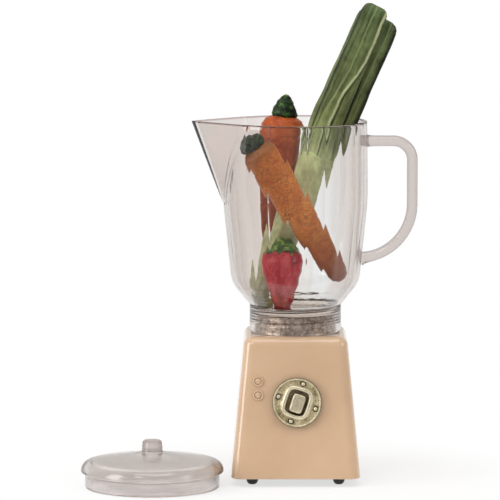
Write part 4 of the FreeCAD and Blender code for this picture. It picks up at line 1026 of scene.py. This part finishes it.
def stub_rings(base, table, lobes, seed, depth):
    """Rings of a leaf stub that stands on the root, with lobes round it."""
    height = table[-1][0]

    def extra(angle, level):
        lump = 0.35 * clay((4 * math.cos(angle), 4 * math.sin(angle), level), 1.3, seed)
        lobe = math.sin(lobes * angle + 0.8 * level + seed) * (1 - level / height)
        return depth * (lobe + lump)
    rings = rolled(table, 56, 0.2, seed, waves=0.15, dents=0.1, extra=extra)
    return [[(x, y, z + base) for x, y, z in ring] for ring in rings]


far_stub_table = [(0, 0.02), (0.2, 2.9), (0.9, 3.2), (2.2, 2.95), (3.9, 2.2), (5.2, 1.3), (5.9, 0.6),
                  (6.1, 0.02)]
far_stub = skin("far_carrot_stub", stub_rings(32.6, far_stub_table, lobes=5, seed=2.0, depth=0.3), leaf_green,
                "far_carrot", **FAR_STAND)
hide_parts("far_carrot_top")
near_stub_table = [(0, 0.02), (0.2, 2.9), (0.9, 3.5), (2.1, 3.3), (3.2, 2.4), (3.8, 1.2), (3.9, 0.02)]
near_stub = skin("near_carrot_stub", stub_rings(40.6, near_stub_table, lobes=7, seed=4.0, depth=0.4),
                 leaf_green, "near_carrot", **NEAR_STAND)
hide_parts("near_carrot_top")
print("stubs", far_stub_table[-1][0], "and", near_stub_table[-1][0], "mm high")

# %% [markdown]
# ## Strawberry
# A cone on its tip with broad shoulders, deep varnished red over lighter veins, and small seeds pressed
# into dimples. The seeds are under half a millimetre, too small to model one by one, so cells of a
# Voronoi pattern dent the surface instead.

# %% Strawberry
# Gloss varnish over red clay: wet highlights, broken by the dimples. Seeds 1.6 mm apart.
berry_red, shader = new_finish("varnished_clay_red", Roughness=0.28, IOR=1.48, Specular_IOR_Level=0.35)
where = add_node(berry_red, "TexCoord").outputs["Object"]
streaks = add_node(berry_red, "Mapping", {"Vector": where, "Scale": (1.0, 1.0, 0.35)})
veins = add_node(berry_red, "TexNoise", {"Vector": streaks.outputs[0], "Scale": marks(3.03), "Detail": 5.0,
                                         "Roughness": 0.6})
tone = add_node(berry_red, "ValToRGB", {"Fac": veins.outputs["Fac"]},
                [(0.36, "8e0718"), (0.5, "d2142c"), (0.66, "ea5a64")])
pip = add_node(berry_red, "TexVoronoi", {"Vector": where, "Scale": marks(1.613), "Randomness": 0.5})
dimple = add_node(berry_red, "MapRange", {"Value": pip.outputs["Distance"], "From Min": 0.0, "From Max": 0.3})
dimples = add_node(berry_red, "Bump", {"Height": dimple.outputs[0], "Strength": 0.8, "Distance": 0.3 * MM})
plug(berry_red, shader, {"Base Color": tone.outputs["Color"], "Normal": dimples.outputs["Normal"]})

BERRY = cad_foot("strawberry")
berry_table = [(0, 0.02), (0.1, 0.9), (0.5, 1.55), (1.2, 2.0), (4.0, 3.0), (8.0, 4.3), (11.0, 5.25),
               (13.2, 5.6), (14.8, 5.2), (15.7, 4.2), (16.1, 2.8), (16.2, 0.02)]
berry = skin("strawberry_fruit", rolled(berry_table, 72, 0.2, seed=7, waves=0.16, dents=0.05), berry_red,
             "strawberry", location=BERRY)
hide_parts("strawberry")
print("strawberry", berry_table[-1][0], "mm high at", BERRY)

# %% [markdown]
# ## Strawberry leaves
# The calyx is a ring of nine pointed leaves that lie over the shoulder, round a lumpy heart. Flat
# cut-outs would look like paper, so each leaf is a thin body whose rings widen, droop and taper to a
# point, with a ridge along its middle.

# %% Strawberry leaves
# Leaf-green clay, satin: light yellow-green brush marks over a darker green.
calyx_green = mottled("varnished_clay_leaf_green", 1.667, 5.0,
                      [(0.38, "16380a"), (0.5, "4b7a24"), (0.64, "a6be58")], grain=0.65, relief=0.6,
                      relief_mm=0.3, Roughness=0.5, IOR=1.48, Specular_IOR_Level=0.3)
LEAVES, LEAF_LENGTH, LEAF_HALF, LEAF_THICKNESS, LEAF_RIDGE = 9, 4.4, 1.35, 0.32, 0.25
LEAF_LEVEL, LEAF_DROOP, HEART_LEVEL = 18.4, 3.2, 15.8
LEAF_ROWS, LEAF_STEPS = 15, 16
for number in range(LEAVES):
    turn = 2 * math.pi * number / LEAVES + 0.3
    length = LEAF_LENGTH + 0.5 * math.sin(3.1 * number)
    rings = []
    for row in range(LEAF_ROWS):
        part = row / (LEAF_ROWS - 1)
        reach = 0.4 + length * part
        width = LEAF_HALF * math.sin(math.pi * min(1.0, 0.18 + 0.82 * part)) ** 0.8 + 0.02
        level = LEAF_LEVEL - 0.2 * part - LEAF_DROOP * part ** 2.0 + 0.3 * math.sin(9 * part + number)
        ring = []
        for step in range(LEAF_STEPS):
            angle = 2 * math.pi * step / LEAF_STEPS
            across = width * math.cos(angle)
            thick = LEAF_THICKNESS * math.sin(angle) * (1 - 0.5 * part) - LEAF_RIDGE * abs(across) / LEAF_HALF
            ring.append((reach * math.cos(turn) - across * math.sin(turn),
                         reach * math.sin(turn) + across * math.cos(turn), level + thick))
        rings.append(ring)
    rings = [[rings[0][0]] * LEAF_STEPS] + rings + [[rings[-1][0]] * LEAF_STEPS]
    leaf = skin("strawberry_leaf_%d" % (number + 1), rings, calyx_green, "strawberry", location=BERRY)
    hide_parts("strawberry_calyx")
heart_table = [(0, 0.02), (0.2, 3.4), (1.4, 3.2), (2.8, 2.0), (3.4, 1.0), (3.6, 0.02)]
crown = skin("strawberry_leaf_heart", rolled(heart_table, 48, 0.2, seed=9, waves=0.3, dents=0.3), calyx_green,
             "strawberry", location=(BERRY[0], BERRY[1], BERRY[2] + HEART_LEVEL))
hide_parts("strawberry_calyx")
print("strawberry with", LEAVES, "leaves")

# %% [markdown]
# ## Leek finish
# A leek goes from pale yellow-green at its foot to a dark olive green at the leaf ends, with fine
# parallel veins all the way. One ramp along its height gives the colours, noise stretched along it
# the veins, and where the leaves lie over each other, soft lines are painted on: a painted shadow beside
# a fold or an edge, and a painted highlight on the fold itself.

# %% Leek finish
def leek_paint(name, stops, vein_strength, shade_and_highlight_lines=()):
    """Satin varnish over greens that follow the height along the leek; the last argument holds lines of
    painted shade and highlight laid on it.
    """
    paint, shader = new_finish(name, Roughness=0.52, IOR=1.46, Specular_IOR_Level=0.3)
    where = add_node(paint, "TexCoord").outputs["Object"]
    parts = add_node(paint, "SeparateXYZ", {"Vector": where})
    squash = add_node(paint, "Mapping", {"Vector": where, "Scale": (1.0, 1.0, 0.12)})
    veins = add_node(paint, "TexNoise", {"Vector": squash.outputs[0], "Scale": marks(1.613), "Detail": 6.0,
                                         "Roughness": 0.65, "Distortion": 0.4})
    blotch = add_node(paint, "TexNoise", {"Vector": where, "Scale": marks(5.88), "Detail": 6.0,
                                          "Roughness": 0.7})
    offset = add_node(paint, "Math", {0: blotch.outputs["Fac"], 1: 8 * MM}, operation="MULTIPLY")
    level = add_node(paint, "Math", {0: parts.outputs["Z"], 1: offset.outputs[0]}, operation="ADD")
    share = add_node(paint, "MapRange", {"Value": level.outputs[0], "From Min": 4 * MM, "From Max": 89 * MM})
    tone = add_node(paint, "ValToRGB", {"Fac": share.outputs[0]}, stops)
    above_rim = {"Value": parts.outputs["Z"], "From Min": 43 * MM, "From Max": 52 * MM}
    faint = add_node(paint, "MapRange", {**above_rim, "To Min": 0.93, "To Max": 0.6})
    strong = add_node(paint, "MapRange", {**above_rim, "To Min": 1.05, "To Max": 1.32})
    strength = add_node(paint, "MapRange", {"Value": veins.outputs["Fac"], "From Min": 0.36, "From Max": 0.64,
                                            "To Min": faint.outputs[0], "To Max": strong.outputs[0]})
    streaked = add_node(paint, "MixRGB", {"Fac": 1.0, "Color1": tone.outputs["Color"],
                                          "Color2": strength.outputs[0]}, blend_type="MULTIPLY")
    patch = add_node(paint, "MapRange", {"Value": blotch.outputs["Fac"], "From Min": 0.35, "From Max": 0.65,
                                         "To Min": 0.6, "To Max": 1.32})
    colour = add_node(paint, "MixRGB", {"Fac": 1.0, "Color1": streaked.outputs["Color"],
                                        "Color2": patch.outputs[0]}, blend_type="MULTIPLY")
    wander = add_node(paint, "MapRange", {"Value": blotch.outputs["Fac"], "To Min": -0.7 * MM,
                                          "To Max": 0.7 * MM})
    # Painted light: these lines lay painted shade and painted highlights along the leaves, besides paler
    # streaks.
    for low, high, left, right, half, painted_tone, weight in shade_and_highlight_lines:
        course = add_node(paint, "MapRange", {"Value": parts.outputs["Z"], "From Min": low * MM,
                                              "From Max": high * MM, "To Min": left * MM,
                                              "To Max": right * MM}, interpolation_type="SMOOTHSTEP")
        bent = add_node(paint, "Math", {0: course.outputs[0], 1: wander.outputs[0]}, operation="ADD")
        away = add_node(paint, "Math", {0: parts.outputs["X"], 1: bent.outputs[0]}, operation="SUBTRACT")
        apart = add_node(paint, "Math", {0: away.outputs[0]}, operation="ABSOLUTE")
        on_line = add_node(paint, "MapRange", {"Value": apart.outputs[0], "From Min": 0.4 * half * MM,
                                               "From Max": half * MM, "To Min": weight, "To Max": 0.0})
        colour = add_node(paint, "MixRGB", {"Fac": on_line.outputs[0], "Color1": colour.outputs["Color"],
                                            "Color2": linear(painted_tone)})
    ridge = add_node(paint, "Bump", {"Height": veins.outputs["Fac"], "Strength": vein_strength,
                                     "Distance": 0.3 * MM})
    plug(paint, shader, {"Base Color": colour.outputs["Color"], "Normal": ridge.outputs["Normal"]})
    return paint


# Varnished clay, satin: a pale yellow-green that darkens upwards, with veins that hardly stand out.
leek_stem_paint = leek_paint("varnished_clay_leek_stem", [(0.0, "ccd2a2"), (0.2, "c3cb98"), (0.44, "bfc790"),
                                                          (0.53, "a2ab72")], 0.1)
print("stem finish with", len(leek_stem_paint.node_tree.nodes), "nodes")

# %% [markdown]
# ## Leek stem
# The stem is a pale round roll with the faintest ribs. All pieces of the leek share one stand: they
# lean together over the jug's rim.

# %% Leek stem
LEEK_STAND = {"location": (-9.9, 2.5, 47.4), "lean": (23.4, "Y")}
stem_table = [(0, 0.02), (0.15, 1.6), (0.8, 2.8), (2.5, 3.15), (10, 3.9), (17, 4.25), (40.3, 4.3),
              (40.5, 0.02)]


def ribs(angle, height):
    """Nine shallow ribs along the stem."""
    return 0.06 * math.sin(9 * angle)


stem = skin("leek_pale_stem", rolled(stem_table, 72, 0.4, seed=11, waves=0.1, dents=0.04, extra=ribs),
            leek_stem_paint, "leek", **LEEK_STAND)
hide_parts("leek_stem")
print("stem", stem_table[-1][0], "mm long")

# %% [markdown]
# ## Dry husks
# Two small dry leaves spread from the leek's lower end. Each is a thin blade through a few points,
# widest before its middle and pointed at its end, with a jagged edge like torn husk.

# %% Dry husks
# The same clay for a dry leaf: a greyish yellow-green, with veins that stand out.
leek_husk_paint = leek_paint("varnished_clay_leek_husk",
                             [(0.0, "6f8a45"), (0.5, "a9bb7c"), (1.0, "c4cf98")], 0.4)
BLADE_STEPS, BLADE_ROWS, BLADE_THICKNESS = 12, 18, 0.14


def husk_blade(name, points, width):
    """Pointed dry leaf: a thin curved blade through points, jagged along its edges."""
    rings = []
    for row in range(BLADE_ROWS + 1):
        part = row / BLADE_ROWS
        span = part * (len(points) - 1)
        index = min(int(span), len(points) - 2)
        spot = Vector(points[index]).lerp(Vector(points[index + 1]), span - index)
        wide = width * (math.sin(math.pi * (0.22 + 0.78 * part)) ** 0.8 if part < 1 else 0) + 0.02
        ring = []
        for step in range(BLADE_STEPS):
            angle = 2 * math.pi * step / BLADE_STEPS
            across, thick = wide * math.cos(angle), BLADE_THICKNESS * math.sin(angle)
            jag = 0.25 * wide * math.sin(9 * part + 2 * step) * abs(math.cos(angle))
            ring.append((spot.x + 0.25 * across, spot.y + thick, spot.z + across + jag))
        rings.append(ring)
    rings = [[points[0]] * BLADE_STEPS] + rings + [[points[-1]] * BLADE_STEPS]
    blade = skin(name, rings, leek_husk_paint, "leek")
    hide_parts("leek_stem")


husk_blade("leek_husk_left", [(-5.8, 0.5, 46.2), (-8.2, -0.3, 46.4), (-10.2, -1.2, 47.2),
                              (-11.6, -1.8, 48.6)], 1.0)
husk_blade("leek_husk_long", [(-5.8, 0.3, 45.7), (-7.4, -0.4, 45.7), (-9.0, -1.2, 46.0),
                              (-10.4, -2.0, 46.8)], 0.7)
print("two husks")

# %% [markdown]
# ## Leek leaves: finish
# Both leaves share the greens. What differs are the painted lines: on the front leaf a painted highlight
# on the fold with a painted shadow in its groove, a paler streak and painted shade along the left edge,
# on the rear leaf painted shade along its right edge and a painted shadow where it goes under the front
# one.

# %% Leaf finishes
# Dark lines are painted shade beside edges, in the fold's groove and under the front leaf; the first front
# line is a painted highlight on the fold.
# each line: from and to height, left-right place at both, half width, colour, weight
front_shade_and_highlight_lines = [(55.0, 68.0, -0.9, 1.3, 0.42, "b3b78a", 0.9), (55.0, 68.0, -0.3, 1.9, 0.24, "1c2610", 0.8),
               (48.0, 66.0, -3.3, -1.6, 0.30, "8f9a68", 0.6), (40.0, 84.0, -5.25, -5.25, 0.95, "10180a", 0.9),
               (52.0, 80.0, -3.9, -3.4, 0.16, "2a3518", 0.6)]
rear_shade_and_highlight_lines = [(40.0, 84.0, 6.1, 6.1, 1.5, "0c1208", 0.92), (58.0, 68.0, 2.6, 1.6, 0.34, "10160a", 0.85),
              (50.0, 80.0, 3.3, 3.9, 0.2, "8f986c", 0.5)]
# Varnished clay, satin: pale where the leaves leave the stem, dark olive green higher up, strongly veined.
leaf_stops = [(0.45, "c9d09a"), (0.52, "8f9a62"), (0.61, "697243"), (0.97, "5a6a40")]
leek_front_paint = leek_paint("varnished_clay_leek_leaf_front", leaf_stops, 0.6, front_shade_and_highlight_lines)
leek_rear_paint = leek_paint("varnished_clay_leek_leaf_rear", leaf_stops, 0.6, rear_shade_and_highlight_lines)
print("leaves with", len(front_shade_and_highlight_lines), "and", len(rear_shade_and_highlight_lines), "painted lines")

# %% [markdown]
# ## Leek leaves: sections
# Thick leaves, pressed flat, open from the stem. A box with a bevel would be too regular: each leaf is
# skinned through sections that give its left, right, front and back at a height, rounded like a
# cushion, with waves of the clay on top. A raised fold with a groove on its right can wander up it.

# %% Leaf sections
SIDE_POWER, FACE_POWER = 0.75, 0.6
FOLD_WIDTH, GROOVE_WIDTH, GROOVE_OFF = 0.45, 0.35, 0.75


def fold_across(height):
    """Where the fold runs on the front leaf, left or right of the leek's axis."""
    return along([(55.0, -0.9), (68.0, 1.3)], height)


def leaf_rings(sections, seed, fold=0.0, steps=96, pitch=0.4):
    """Rings of a thick flat leaf through sections of (height, left, right, front, back, tilt)."""
    rings = []
    start, end = sections[0][0], sections[-1][0]
    count = int((end - start) / pitch)
    tables = [[(section[0], section[number]) for section in sections] for number in range(1, 6)]
    for row in range(count + 1):
        height = start + (end - start) * row / count
        left, right, front, back, tilt = [along(table, height) for table in tables]
        ring = []
        for step in range(steps):
            angle = 2 * math.pi * step / steps
            c, s = math.cos(angle), math.sin(angle)
            x = (left + right) / 2 + (right - left) / 2 * math.copysign(abs(c) ** SIDE_POWER, c)
            x += 0.16 * clay((3 * c, s, height), 4.0, seed + 3)
            y = (front + back) / 2 + (back - front) / 2 * math.copysign(abs(s) ** FACE_POWER, s)
            y += 0.10 * math.sin(2.6 * x + seed) + 0.12 * clay((x, y, height * 0.4), 2.5, seed)
            if fold and s < 0:
                off = x - fold_across(height)
                groove = 0.6 * math.exp(-((off - GROOVE_OFF) / GROOVE_WIDTH) ** 2)
                y -= fold * (math.exp(-(off / FOLD_WIDTH) ** 2) - groove)
            ring.append((x, y, height + tilt * (x - left) / 10))
        rings.append(ring)
    ends = []
    for ring in (rings[0], rings[-1]):
        ends.append([tuple(sum(point[axis] for point in ring) / steps for axis in range(3))] * steps)
    return [ends[0]] + rings + [ends[1]]


print("at 60 mm the fold lies", round(fold_across(60.0), 2), "mm from the leek's axis")

# %% [markdown]
# ## Leek leaves
# The rear leaf is the wide, lower one; the front leaf lies on it, is taller and carries the fold. Their
# tops are rounded off in a few short sections, and tilt a little to one side.

# %% Leek leaves
rear_sections = [(39.0, -4.2, 4.2, 0.0, 3.2, 0), (44, -5.3, 5.5, -0.1, 3.3, 0), (48, -5.8, 6.0, 0.0, 3.4, 0),
                 (77.4, -5.35, 6.05, 0.0, 3.4, -0.8), (78.6, -5.15, 5.8, 0.1, 3.3, -0.8),
                 (79.4, -4.6, 5.1, 0.3, 3.1, -0.8), (79.8, -3.6, 4.0, 0.5, 2.9, -0.8)]
rear_leaf = skin("leek_rear_leaf", leaf_rings(rear_sections, 2), leek_rear_paint, "leek", **LEEK_STAND)
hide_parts("leek_leaf_rear")
front_sections = [(39.0, -4.2, 3.0, -3.2, 0.2, 0), (44, -5.0, 2.6, -3.3, 0.1, 0),
                  (60, -5.2, 2.2, -3.4, 0.0, 0), (79.5, -5.0, 1.9, -3.4, 0.0, -0.6),
                  (80.8, -4.8, 1.7, -3.3, -0.1, -0.6), (81.5, -4.3, 1.2, -3.0, -0.3, -0.6),
                  (81.9, -3.3, 0.4, -2.7, -0.5, -0.6)]
front_leaf = skin("leek_front_leaf", leaf_rings(front_sections, 4, fold=0.4), leek_front_paint, "leek",
                  **LEEK_STAND)
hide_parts("leek_leaf_front")
print("leaves of", len(rear_leaf.data.vertices), "and", len(front_leaf.data.vertices), "points")
